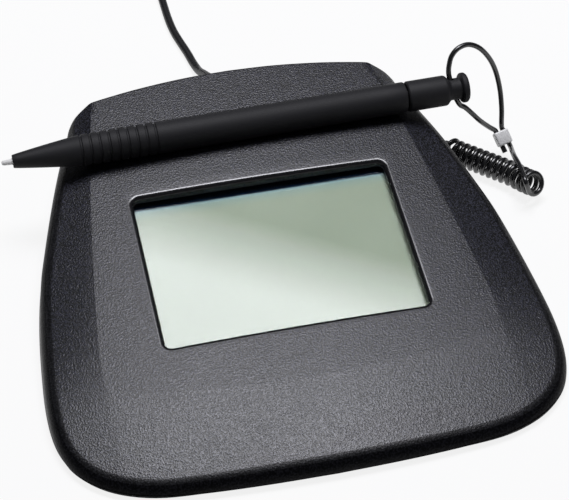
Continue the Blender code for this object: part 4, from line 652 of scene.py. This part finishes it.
def curl_points():
    """The curly cord: a helix round its middle line that grows from the straight cord."""
    line = curve_through(TETHER_AXIS, 24)
    line = sample(line, 0.0, run_along(line)[-1], 480)
    run = run_along(line)
    ahead = ways(line)
    across = [unit(np.cross(ahead[0], (0.0, 0.0, 1.0)))]
    for d in ahead[1:]:
        across.append(unit(across[-1] - d * (across[-1] @ d)))
    across = np.array(across)
    other = np.cross(ahead, across)
    bend = np.linalg.norm(np.gradient(ahead, axis=0), axis=1) / np.gradient(run)
    window = len(run) // 9  # the bend is evened over a ninth of the line
    padded = np.pad(bend, window // 2, mode='edge')
    bend = np.convolve(padded, np.ones(window) / window, 'same')[window // 2:][:len(run)]
    tightness = np.minimum(CURL_RADIUS * bend, CURL_TIGHTEST_SHARE)
    pitch = (TETHER_DIAMETER + CURL_GAP) / (1 - tightness)
    turns = np.r_[0.0, np.cumsum(np.diff(run) / pitch[1:])]
    count = int(round(turns[-1] * CURL_POINTS))
    out = []
    for k in range(count + 1):
        turn = turns[-1] * k / count
        at = np.interp(turn, turns, run)
        centre, a, b = [np.array([np.interp(at, run, column) for column in field.T])
                        for field in (line, across, other)]
        radius = CURL_RADIUS * smoothstep(at / CURL_RUN_IN)
        angle = CURL_PHASE - 2 * math.pi * (turn - turns[-1])
        out.append(centre + radius * (math.cos(angle) * a + math.sin(angle) * b))
    return np.array(out)


def ferrule_side():
    return (Vector((1.0, 0.0, 0.0)) - FERRULE_AXIS * FERRULE_AXIS.x).normalized()


def ferrule_end(sign):
    return FERRULE_CENTRE + FERRULE_AXIS * sign * FERRULE_SIZE[2] / 2


def tether_points():
    place, out = tether_wall()
    inside = place - out * (SHELL_WALL + BUSH_FLANGE)
    port = ferrule_end(1) + ferrule_side() * FERRULE_SIZE[0] / 4 + FERRULE_AXIS * GAP
    curls = curl_points()
    steps = 8
    start = [inside, place, place + out * TETHER_DIAMETER, *TETHER_START, curls[0], curls[1]]
    start = curve_through(start, steps)[:-steps]
    lead = [curls[-3], curls[-1], *TETHER_LEAD, port + FERRULE_AXIS * TETHER_DIAMETER, port]
    lead = curve_through(lead, steps)[steps:]
    return np.vstack([start[:-1], curls, lead[1:]])


def pen_matrix():
    """The pen's place: x runs from its tip, turned about the middle of its cradle."""
    _, y, z = to_table(0.0, PEN_FACE_V, PEN_GRIP_RADIUS + GAP - GROOVE_DEPTH)
    tip = Vector((PEN_TIP_X, y + PEN_TIP_X * math.tan(PEN_YAW), z))
    return Matrix.Translation(tip) @ Matrix.Rotation(PEN_YAW, 4, 'Z')


def loop_points():
    """From the sleeve through the eye of the cap's neck and back into the sleeve."""
    side = ferrule_side() * FERRULE_SIZE[0] / 4
    first = ferrule_end(-1) - side - FERRULE_AXIS * GAP
    last = ferrule_end(-1) + side - FERRULE_AXIS * GAP
    middle = (CAP_SHOULDER + CAP_CHAMFER + FLANGE_START) / 2
    eye = pen_matrix() @ Vector((middle, 0.0, 0.0))
    up = Matrix.Rotation(PEN_YAW, 3, 'Z') @ PEN_EYE_AXIS
    reach = NECK_RADIUS + TETHER_DIAMETER
    stub = FERRULE_AXIS * TETHER_DIAMETER / 2
    stops = [first, first - stub, *LOOP_LOWER, eye - up * NECK_RADIUS, eye, eye + up * reach,
             *LOOP_UPPER, last - stub, last]
    line = curve_through(stops, 12)
    return sample(line, 0.0, run_along(line)[-1], 150)


def coil_at(angle):
    """A point of the coil: the radius swings in and out, and the cord climbs where it turns."""
    turns = angle / (2 * math.pi)
    inside = turns / COIL_TURNS % 2
    share = inside if inside <= 1 else 2 - inside
    past = max(turns - COIL_LAYERS * COIL_TURNS, 0.0)
    if past:
        share = 0.0
    half_span = COIL_TURNS * COIL_STEP / 2
    radius = COIL_MID_RADIUS + half_span * (1 - 2 * share) + COIL_STEP * past
    climb = 0.0
    for k in range(1, COIL_LAYERS):
        climb += COIL_STEP * smoothstep((turns - k * COIL_TURNS) / CLIMB_TURNS + 0.5)
    x, y = COIL_CENTRE
    base = TIE_THICKNESS + 2 * GAP + CABLE_DIAMETER / 2
    return np.array([x + radius * math.cos(angle), y + radius * math.sin(angle), base + climb])


def coil_points():
    turns = COIL_LAYERS * COIL_TURNS + RUN_ON_TURN
    count = int(round(turns * COIL_POINTS))
    return np.array([coil_at(turns * 2 * math.pi * k / count) for k in range(count + 1)])


def run_out_points(last, before):
    """From the end of the coil to the plug, swinging out and up to its height."""
    x, y = COIL_CENTRE
    reach = COIL_MID_RADIUS + COIL_TURNS * COIL_STEP / 2 + 2 * CABLE_DIAMETER
    place = Vector((x - 2 * CABLE_DIAMETER, y + reach, PLUG_HEIGHT / 2))
    way = Vector((-1.0, 0.0, 0.0))
    centre = Vector((x, y, 0.0))
    start_turn = 2 * math.pi * RUN_ON_TURN
    start_radius = (Vector(last) - centre).to_2d().length
    points = [before, last]
    for share in RUN_OUT_SHARES:
        turn = start_turn + (math.pi / 2 - start_turn) * share
        out = smoothstep(share * RUN_OUT_HASTE)
        radius = start_radius + (place.y - centre.y - start_radius) * out
        z = last[2] + (place.z - last[2]) * smoothstep(share)
        points.append((centre.x + radius * math.cos(turn), centre.y + radius * math.sin(turn), z))
    end = place - way * GAP
    points += [end - way * CABLE_DIAMETER, end]
    steps = 6
    return curve_through(points, steps)[steps:]


def rear_wall_y(z):
    return HALF_DEPTH * OUTLINE_SHARES[0][1] - (z - SKIRT_HEIGHT) * math.tan(REAR_DRAFT)


def boot_tip():
    """Where the cable leaves its strain relief."""
    return rear_wall_y(CABLE_HEIGHT) + 2 * GAP + BOOT_FLANGE + BOOT_LENGTH


def cable_points():
    tip = boot_tip() + GAP
    coil = coil_points()
    route = [(CABLE_X, tip, CABLE_HEIGHT), (CABLE_X, tip + CABLE_DIAMETER, CABLE_HEIGHT)]
    route += [*CABLE_ROUTE, coil[0] - unit(coil[1] - coil[0]) * CABLE_DIAMETER, coil[0]]
    line = curve_through(route, 6)
    run = sample(line, 0.0, run_along(line)[-1], 60)
    tail = run_out_points(coil[-1], coil[-2])
    return np.vstack([run[:-1], coil, tail[1:]])


# Cords

def tube_mesh(points, diameter, sides):
    """A bmesh tube along points with flat ends."""
    ahead = ways(points)
    side = unit(np.cross(ahead[0], (0.3, 0.2, 1.0)))
    rings = []
    for p, d in zip(points, ahead):
        side = unit(side - d * (side @ d))
        other = np.cross(d, side)
        rings.append([p + diameter / 2 * (math.cos(t) * side + math.sin(t) * other)
                      for t in np.arange(sides) * 2 * math.pi / sides])
    return skin(rings)


def curve_cord(name, points, diameter, mat, body):
    curve = bpy.data.curves.new(name, 'CURVE')
    curve.dimensions = '3D'
    curve.bevel_depth = diameter / 2
    curve.bevel_resolution = 5
    curve.use_fill_caps = True
    spline = curve.splines.new('POLY')
    spline.points.add(len(points) - 1)
    for place, p in zip(spline.points, points):
        place.co = (*p, 1.0)
    spline.use_smooth = True
    curve.materials.append(mat)
    obj = placed(name, curve)
    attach(obj, body)
    return obj


def add_cords():
    path = tether_points()
    tether = finished("tether_cord", tube_mesh(path, TETHER_DIAMETER, 14), MATS["cord"], None,
                      40.0)
    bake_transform(tether)
    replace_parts(tether, "tether_curl")
    loop = loop_points()
    obj = curve_cord("loop_cord", loop, TETHER_DIAMETER, MATS["cord"], "pen")
    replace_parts(obj, "tether_loop")
    cable = cable_points()
    obj = curve_cord("cable_cord", cable, CABLE_DIAMETER, MATS["usb"], "pad")
    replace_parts(obj, "usb_cable", "usb_coil")


def add_ferrule():
    """The crimped sleeve, a little longer than the solid so that it closes on the cord."""
    width, depth, length = FERRULE_SIZE
    bm = block((-width / 2, -depth / 2, -length / 2 - GAP),
               (width / 2, depth / 2, length / 2 + 1.3 * GAP))
    bmesh.ops.bevel(bm, geom=bm.edges, offset=FERRULE_CORNER, segments=4, profile=0.5,
                    affect='EDGES')
    side = ferrule_side()
    turn = Matrix((side, FERRULE_AXIS.cross(side), FERRULE_AXIS)).transposed().to_4x4()
    bmesh.ops.transform(bm, matrix=Matrix.Translation(FERRULE_CENTRE) @ turn, verts=bm.verts)
    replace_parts(finished("ferrule_sleeve", bm, MATS["aluminium"], "pen"),
                "tether_ferrule")


add_ferrule()
add_cords()


# Housing

def facet_edge(y):
    t = (FACET_REAR_Y - y) / (FACET_REAR_Y - FACET_FRONT_Y)
    t = min(max(t, 0.0), 1.0)
    return FACE_REAR_HALF + (FACE_FRONT_HALF - FACE_REAR_HALF) * t + FACET_BOW * 4 * t * (1 - t)


def facet_slope(y):
    front, middle, back, rear = [HALF_DEPTH * s for s in FACET_SLOPE_SHARES]
    if y < middle:
        t = smoothstep((y - front) / (middle - front))
        return FACET_FRONT_SLOPE + (FACET_MID_SLOPE - FACET_FRONT_SLOPE) * t
    t = smoothstep((y - back) / (rear - back))
    return FACET_MID_SLOPE + (FACET_REAR_SLOPE - FACET_MID_SLOPE) * t


def crease_y(x):
    return CREASE_Y + CREASE_RISE * (x / FACE_FRONT_HALF) ** 2


def soft_ramp(t, width):
    """Nothing before zero and t after it, rounded over a width."""
    return (t + math.sqrt(t * t + width * width)) / 2 - width * width / (4 * width + 8 * abs(t))


def surface_z(x, y):
    """Height of the moulded surface: crowned face, side facets and palm rest."""
    z = (FACE_HEIGHT + y * math.tan(FACE_SLOPE)
         - x * x / (2 * CROWN_RADIUS * math.cos(FACE_SLOPE)))
    soft = FACET_SOFT + FACET_SOFT_GAIN * smoothstep((FACET_SOFT_Y - y) / FACET_SOFT_REACH)
    outside = abs(x) - facet_edge(y)
    if outside > -4 * soft:
        z -= math.tan(facet_slope(y)) * max(soft_ramp(outside, soft), 0.0)
    ahead = crease_y(x) - y
    if ahead > -CREASE_REACH:
        ramp = max(soft_ramp(ahead, CREASE_SOFT), 0.0)
        z -= math.tan(PALM_SLOPE) * ramp + ramp * ramp / (2 * PALM_RADIUS)
    return z


class EdgePoint:
    """One point of the skirt's outline, with its inward direction, draft and edge roll."""

    def __init__(self, place, inward, softness):
        self.place = place
        self.inward = inward
        self.radius = REAR_EDGE_RADIUS + (EDGE_RADIUS - REAR_EDGE_RADIUS) * softness
        self.lean = math.tan(REAR_DRAFT + (SIDE_DRAFT - REAR_DRAFT) * softness)
        self.wall_inset = 0.0
        for _ in range(4):  # the wall's height and its inset follow from each other
            top = self.ground(self.wall_inset) - self.radius
            self.wall_inset = max(top - SKIRT_HEIGHT, 0.0) * self.lean
        self.wall_top = max(top, SKIRT_HEIGHT)

    def plan(self, inset):
        return self.place + self.inward * inset

    def ground(self, inset):
        return surface_z(*self.plan(inset))

    def outer_z(self, inset):
        """Height of the outer skin: wall, edge roll, then the moulded surface."""
        over = inset - self.wall_inset
        if over < 0:
            return SKIRT_HEIGHT + inset / self.lean
        if over > self.radius:
            return self.ground(inset)
        turn = math.acos(1 - over / self.radius)
        return self.ground(inset) - self.radius * (1 - math.sin(turn))

    def point(self, inset, z):
        return (*self.plan(inset), z)


def outline_points():
    """Right half of the skirt's outline from the rear to the front, as EdgePoints."""
    line = outline_line()
    run = run_along(line)
    marks = [0.0, run[int(np.argmax(line[:, 0] >= FACE_REAR_HALF))]]
    for share in (REAR_CORNER_END_SHARE, FRONT_CORNER_START_SHARE, FRONT_CORNER_END_SHARE):
        marks.append(run[int(np.argmax(line[:, 1] <= share * HALF_DEPTH))])
    marks.append(run[-1])
    points = []
    for a, b, n in zip(marks, marks[1:], STEPS):
        points.extend(sample(line, a, b, n)[:-1])
    points.append(line[-1])
    slope = ways(line)
    result = []
    for i, p in enumerate(points):
        near = np.linalg.norm(line - p, axis=1)
        k = int(np.argmin(near))
        lo, hi = max(k - 1, 0), min(k + 1, len(line) - 1)
        w = np.array([1 / (near[j] + 1e-5) for j in (lo, k, hi)])
        way = unit((slope[[lo, k, hi]] * w[:, None]).sum(0) / w.sum())
        inward = np.array([way[1], -way[0]])
        if i == 0:
            inward = np.array([0.0, -1.0])
        if i == len(points) - 1:
            inward = np.array([0.0, 1.0])
        result.append(EdgePoint(p, inward, smoothstep((i - STEPS[0]) / STEPS[1])))
    return result


def face_border():
    """Border of the face: along the rear edge, the facet's edge and the crease."""
    rear = FACET_REAR_Y - REAR_BORDER
    first = rear - BORDER_CORNER
    n_rear, n_corner, n_side, n_front, n_end = STEPS
    points = [(facet_edge(rear) * k / n_rear, rear) for k in range(n_rear)]
    for a, b, n in ((rear, first, n_corner), (first, FACET_FRONT_Y, n_side)):
        for k in range(n):
            y = a + (b - a) * k / n
            points.append((facet_edge(y), y))
    end_x = FACE_FRONT_HALF - CREASE_CORNER
    end_y = crease_y(end_x)
    for k in range(n_front):
        turn = math.pi / 2 * k / n_front
        points.append((end_x + CREASE_CORNER * math.cos(turn),
                       FACET_FRONT_Y + (end_y - FACET_FRONT_Y) * math.sin(turn)))
    for k in range(n_end + 1):
        x = end_x * (1 - k / n_end)
        points.append((x, crease_y(x)))
    return points


def rounded_half(w, d, r):
    """Right half of a rounded rectangle of half width w, half depth d and corner radius r."""
    n_rear, n_corner, n_side, n_front, n_end = STEPS
    points = [((w - r) * k / n_rear, d) for k in range(n_rear)]
    for k in range(n_corner):
        turn = math.pi / 2 * (1 - k / n_corner)
        points.append((w - r + r * math.cos(turn), d - r + r * math.sin(turn)))
    for k in range(n_side):
        points.append((w, (d - r) * (1 - 2 * k / n_side)))
    for k in range(n_front):
        turn = -math.pi / 2 * k / n_front
        points.append((w - r + r * math.cos(turn), -(d - r) + r * math.sin(turn)))
    for k in range(n_end + 1):
        points.append(((w - r) * (1 - k / n_end), -d))
    return points


def window_ring(margin, drop, crowned=True):
    """A half ring this far outside the window and this far below the face."""
    half = rounded_half(WINDOW_HALF_WIDTH + margin, WINDOW_HALF_DEPTH + margin,
                        WINDOW_CORNER + margin)
    return [tuple(to_table(u, v, -drop - (u * u / (2 * CROWN_RADIUS) if crowned else 0.0)))
            for u, v in half]


def whole_ring(half):
    return list(half) + [(-x, y, z) for x, y, z in half[-2:0:-1]]


def between(ring_a, ring_b, share):
    """A ring on the moulded surface between two rings."""
    out = []
    for a, b in zip(ring_a, ring_b):
        x, y = a[0] + (b[0] - a[0]) * share, a[1] + (b[1] - a[1]) * share
        out.append((x, y, surface_z(x, y)))
    return out


def seat_inset(e):
    """Where the inner skin comes down to the base plate."""
    room = SKIRT_HEIGHT + BASE_THICKNESS + SHELL_WALL + GAP
    inset = SHELL_WALL
    while e.outer_z(inset) < room:
        inset += GAP
    return inset


def inner_point(e, past_wall):
    inset = e.wall_inset + past_wall
    return e.point(inset, e.outer_z(inset) - SHELL_WALL)


def add_top_housing():
    """The moulded upper shell, with the same form as the solid and a finer skin."""
    edge = outline_points()
    border = [(x, y, surface_z(x, y)) for x, y in face_border()]
    rim = window_ring(RIM_RADIUS, 0.0)
    rings = [[e.point(SKIRT_INSET, SKIRT_HEIGHT) for e in edge],
             [e.point(e.lean * SKIRT_CHAMFER, SKIRT_HEIGHT + SKIRT_CHAMFER) for e in edge],
             [e.point(e.wall_inset, e.wall_top) for e in edge]]
    for k in range(1, ROLL_STEPS + 1):
        turn = math.pi / 2 * k / ROLL_STEPS
        inset = [e.wall_inset + e.radius * (1 - math.cos(turn)) for e in edge]
        rings.append([e.point(i, e.outer_z(i)) for e, i in zip(edge, inset)])
    rings += [between(rings[-1], border, s) for s in FACET_RING_SHARES]
    rings += [between(border, rim, s) for s in FACE_RING_SHARES]
    rim_index = len(rings)
    rings.append(rim)
    for k in range(1, RIM_STEPS + 1):
        turn = math.pi / 2 * k / RIM_STEPS
        rings.append(window_ring(RIM_RADIUS * (1 - math.sin(turn)),
                                 RIM_RADIUS * (1 - math.cos(turn))))
    rings += [window_ring(0.0, COLLAR_DEPTH, crowned=False),
              window_ring(COLLAR_WALL, COLLAR_DEPTH, crowned=False),
              window_ring(COLLAR_WALL, SHELL_WALL)]
    under = [(x, y, z - SHELL_WALL) for x, y, z in border]
    middle = between(rings[-1], under, 0.5)
    rings += [[(x, y, z - SHELL_WALL) for x, y, z in middle], under]
    turn_in = SHELL_WALL + REAR_EDGE_RADIUS
    seats = [(e, seat_inset(e)) for e in edge]
    rings += [[inner_point(e, max(e.radius + GAP, turn_in)) for e in edge],
              [inner_point(e, max(SHELL_WALL, seat - e.wall_inset)) for e, seat in seats],
              [e.point(seat, SKIRT_HEIGHT) for e, seat in seats]]
    shell = finished("housing_shell", skin([whole_ring(r) for r in rings], round_again=True),
                     MATS["housing"], None)
    around = len(whole_ring(rings[0]))
    # The wall and edge rings take the painted-shade copies of the plastic; the window's rim takes
    # a glossier one.
    for key, first, last in (("edge_shade_band", 0, SHADE_BAND_RINGS), ("edge_shade_fade", SHADE_BAND_RINGS, SHADE_FADE_RINGS),
                             ("rim", rim_index, rim_index + RIM_GLOSS_RINGS)):
        shell.data.materials.append(MATS[key])
        for face in shell.data.polygons[first * around:last * around]:
            face.material_index = len(shell.data.materials) - 1
    _, y, z = to_table(0.0, PEN_FACE_V, GROOVE_RADIUS - GROOVE_DEPTH)
    wall = rear_wall_y(CABLE_HEIGHT)
    half = BOOT_HALF + GAP
    start, stop = wall - SHELL_WALL - OVERRUN, wall + OVERRUN
    place, out = tether_wall()
    carve(shell, [
        rod((-HALF_WIDTH, y, z), (HALF_WIDTH, y, z), GROOVE_RADIUS, 192),
        rod((CABLE_X, start, CABLE_HEIGHT), (CABLE_X, stop, CABLE_HEIGHT), half, 48),
        block((CABLE_X - half, start, SKIRT_HEIGHT - OVERRUN),
              (CABLE_X + half, stop, CABLE_HEIGHT)),
        rod(place - out * (SHELL_WALL + 2 * OVERRUN), place + out * OVERRUN, BUSH_RADIUS + GAP,
            32),
    ])
    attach(shell, "pad")
    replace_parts(shell, "top_housing")


add_top_housing()


# Pen

def pen_profile():
    """Outer line of the barrel: nose cone, ribbed grip and a long taper to the seam."""
    groove = RIB_GROOVE_SHARE * RIB_PITCH
    start = NIB_LENGTH + CONE_LENGTH
    line = [(NIB_LENGTH, 0.0015), (NIB_LENGTH, PEN_NOSE_RADIUS - 0.0001),
            (NIB_LENGTH + 0.0002, PEN_NOSE_RADIUS)]
    for k in range(1, 12):
        t = k / 12
        share = (1 + CONE_BULGE) * t - CONE_BULGE * t * t
        line.append((NIB_LENGTH + CONE_LENGTH * t,
                     PEN_NOSE_RADIUS + (PEN_SHOULDER_RADIUS - PEN_NOSE_RADIUS) * share))
    line.append((start, PEN_SHOULDER_RADIUS))
    for k in range(RIB_COUNT):
        a = start + k * RIB_PITCH
        share = min(1.0, 2 * (k + 1) / RIB_COUNT)
        crest = PEN_SHOULDER_RADIUS + (PEN_GRIP_RADIUS - PEN_SHOULDER_RADIUS) * share
        for s in range(9):
            t = s / 8
            line.append((a + groove * t, crest - RIB_DEPTH * (1 - (2 * t - 1) ** 4)))
        for s in range(1, 5):
            t = s / 5
            line.append((a + groove + (RIB_PITCH - groove) * t,
                         crest + RIB_CROWN * math.sin(math.pi * t)))
    a = start + RIB_COUNT * RIB_PITCH
    end = BARREL_END
    for k in range(13):
        t = k / 12
        line.append((a + (end - SEAM_CHAMFER - a) * t,
                     PEN_GRIP_RADIUS + (PEN_REAR_RADIUS - PEN_GRIP_RADIUS) * t))
    line += [(end - 0.0001, PEN_REAR_RADIUS - 0.00012), (end, PEN_REAR_RADIUS - SEAM_CHAMFER),
             (end, BARREL_BORE), (end - 0.006, BARREL_BORE)]
    return line


def add_pen():
    """Barrel, nib and end cap, turned fine, with the cord's eye through the cap's neck."""
    matrix = pen_matrix()
    barrel = finished("pen_body", turned(pen_profile(), 96, matrix), MATS["pen"], "pen",
                      40.0)
    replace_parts(barrel, "pen_barrel")
    nib = [(0.0, 0.0), (0.00002, 0.0003), (0.00010, 0.00052), (0.00028, 0.00068),
           (0.0006, 0.00075), (NIB_LENGTH - 0.0006, 0.00092), (NIB_LENGTH - 0.0003, 0.0010),
           (NIB_LENGTH, 0.0010), (NIB_LENGTH + 0.009, 0.0010)]
    obj = finished("pen_point", turned(nib, 48, matrix), MATS["nib"], "pen")
    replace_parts(obj, "pen_nib")
    start, rear, flange = CAP_START, PEN_REAR_RADIUS, PEN_LENGTH - FLANGE_THICKNESS
    neck = CAP_SHOULDER + CAP_CHAMFER
    line = [(BARREL_END - SPIGOT_LENGTH, SPIGOT_RADIUS), (start, SPIGOT_RADIUS),
            (start, rear - SEAM_CHAMFER), (start + SEAM_CHAMFER, rear), (CAP_SHOULDER, rear),
            (neck, NECK_RADIUS), (FLANGE_START, NECK_RADIUS),
            (flange - 0.0002, NECK_RADIUS + 0.0001), (flange, FLANGE_EDGE_RADIUS),
            (flange + 0.0004, FLANGE_RADIUS), (PEN_LENGTH - 0.0005, FLANGE_RADIUS),
            (PEN_LENGTH, FLANGE_EDGE_RADIUS)]
    line = rounded_profile(line, {3: 0.0004, 4: 0.0006, 5: 0.0005, 6: 0.0008, 7: 0.0008,
                                  8: 0.0005, 9: 0.0006, 10: 0.0006}, 5)
    line += [(PEN_LENGTH, 0.003), (PEN_LENGTH - 0.0002, 0.0028), (PEN_LENGTH - 0.0002, 0.0)]
    cap = finished("pen_cap", turned(line, 96, matrix), MATS["pen"], None,
                   40.0)
    middle = matrix @ Vector(((neck + FLANGE_START) / 2, 0.0, 0.0))
    axis = matrix.to_3x3() @ PEN_EYE_AXIS
    reach = NECK_RADIUS + OVERRUN
    carve(cap, [rod(middle - axis * reach, middle + axis * reach, TETHER_DIAMETER / 2 + GAP, 32)],
          angle=40.0)
    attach(cap, "pen")
    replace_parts(cap, "pen_end_cap")


add_pen()


# The pieces that keep the solid's mesh

PAINT = {
    "base_housing": "base", "display_tray": "base", "window_gasket": "rubber",
    "tether_bush": "rubber", "inner_lead": "usb", "strain_relief": "usb", "plug_body": "usb",
    "tether_tail": "cord", "cable_tie": "tie", "touch_glass": "glass",
    "display_cell": "display", "display_diffuser": "white", "ribbon_socket": "white",
    "cable_header": "white", "plug_tongue": "white", "main_board": "board",
    "controller_chip": "chip", "display_ribbon": "amber", "clock_crystal": "steel",
    "plug_shell": "steel", "tether_stop": "aluminium",
}


def paint_nodes():
    """Materials of the solids that stay visible, and smooth shading for every node."""
    for name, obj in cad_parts.items():
        key = PAINT.get(name)
        if name.startswith("foot_"):
            key = "rubber"
        elif "_screw_" in name:
            key = "steel"
        if key:
            obj.data.materials.clear()
            obj.data.materials.append(MATS[key])
        smoothed(obj.data, 35.0)


paint_nodes()


# Floor and light

FLOOR_SHADE = 0.88
FLOOR_GLOW = 0.85  # share of plain white that the floor shows to the camera
WORLD_FILL = 0.07


def add_floor():
    """A pale floor that takes a soft shadow and reads white, in gloss and glass too."""
    mesh = bpy.data.meshes.new("floor")
    mesh.from_pydata([(-6, -6, 0), (6, -6, 0), (6, 6, 0), (-6, 6, 0)], [], [(0, 1, 2, 3)])
    m = Mat("floor_white", (FLOOR_SHADE,) * 3, 0.9)
    glow = m.add("Emission", in_Color=(1.0, 1.0, 1.0, 1.0))
    path = m.add("LightPath").outputs
    seen = path["Is Camera Ray"]
    for other in ("Is Glossy Ray", "Is Transmission Ray"):
        seen = m.calc('MAXIMUM', seen, path[other])
    m.layered(m.calc('MULTIPLY', seen, FLOOR_GLOW), m.shader.outputs["BSDF"],
              glow.outputs["Emission"])
    mesh.materials.append(m.mat)
    placed("floor", mesh)


def add_world():
    """White for the camera and a faint cool fill for everything else."""
    world = bpy.data.worlds.new("world")
    world.use_nodes = True
    bpy.context.scene.world = world
    nodes, links = world.node_tree.nodes, world.node_tree.links
    back, white = nodes["Background"], nodes.new("ShaderNodeBackground")
    for node, tint, strength in ((back, (0.95, 0.97, 1.0), WORLD_FILL),
                                 (white, (1.0, 1.0, 1.0), 1.0)):
        node.inputs["Color"].default_value = (*tint, 1.0)
        node.inputs["Strength"].default_value = strength
    path = nodes.new("ShaderNodeLightPath")
    mix = nodes.new("ShaderNodeMixShader")
    links.new(path.outputs["Is Camera Ray"], mix.inputs["Fac"])
    links.new(back.outputs["Background"], mix.inputs[1])
    links.new(white.outputs["Background"], mix.inputs[2])
    links.new(mix.outputs["Shader"], nodes["World Output"].inputs["Surface"])


def add_softbox():
    """The overhead softbox: weaker on its far side, with a soft far edge for the glass."""
    height, depth, length, shift = 1.1, 0.55, 0.66, 0.035
    radiance, far_share, fringe, reach = 17.0, 0.31, 0.075, 0.6136
    normal = Vector((0.48, 0.877, 0.0))
    middle = reach + fringe / 2 - depth / 2
    centre = normal * middle + Vector((-normal.y, normal.x, 0.0)) * shift
    data = bpy.data.lights.new("softbox", 'AREA')
    data.shape = 'RECTANGLE'
    data.size, data.size_y = depth, length
    data.color = (1.0, 1.0, 1.06)
    data.energy = radiance * math.pi * depth * length
    data.use_nodes = True
    nodes, links = data.node_tree.nodes, data.node_tree.links
    glow = nodes["Emission"]
    place = nodes.new("ShaderNodeNewGeometry")
    split = nodes.new("ShaderNodeSeparateXYZ")
    links.new(place.outputs["Parametric"], split.inputs[0])
    fade = nodes.new("ShaderNodeValToRGB")
    stops = [(0.0, 1.0), (0.30, 1.0), (0.62, far_share), (1.0 - fringe / depth, far_share),
             (1.0, 0.0)]
    set_stops(fade.color_ramp, [(at, (share,) * 3) for at, share in stops])
    links.new(split.outputs["X"], fade.inputs["Fac"])
    links.new(fade.outputs["Color"], glow.inputs["Strength"])
    lamp = placed("softbox", data)
    lamp.matrix_world = (Matrix.Translation((centre.x, centre.y, height))
                         @ Matrix.Rotation(math.atan2(normal.y, normal.x), 4, 'Z'))


add_floor()
add_world()
add_softbox()
bpy.context.scene.view_settings.view_transform = 'Standard'
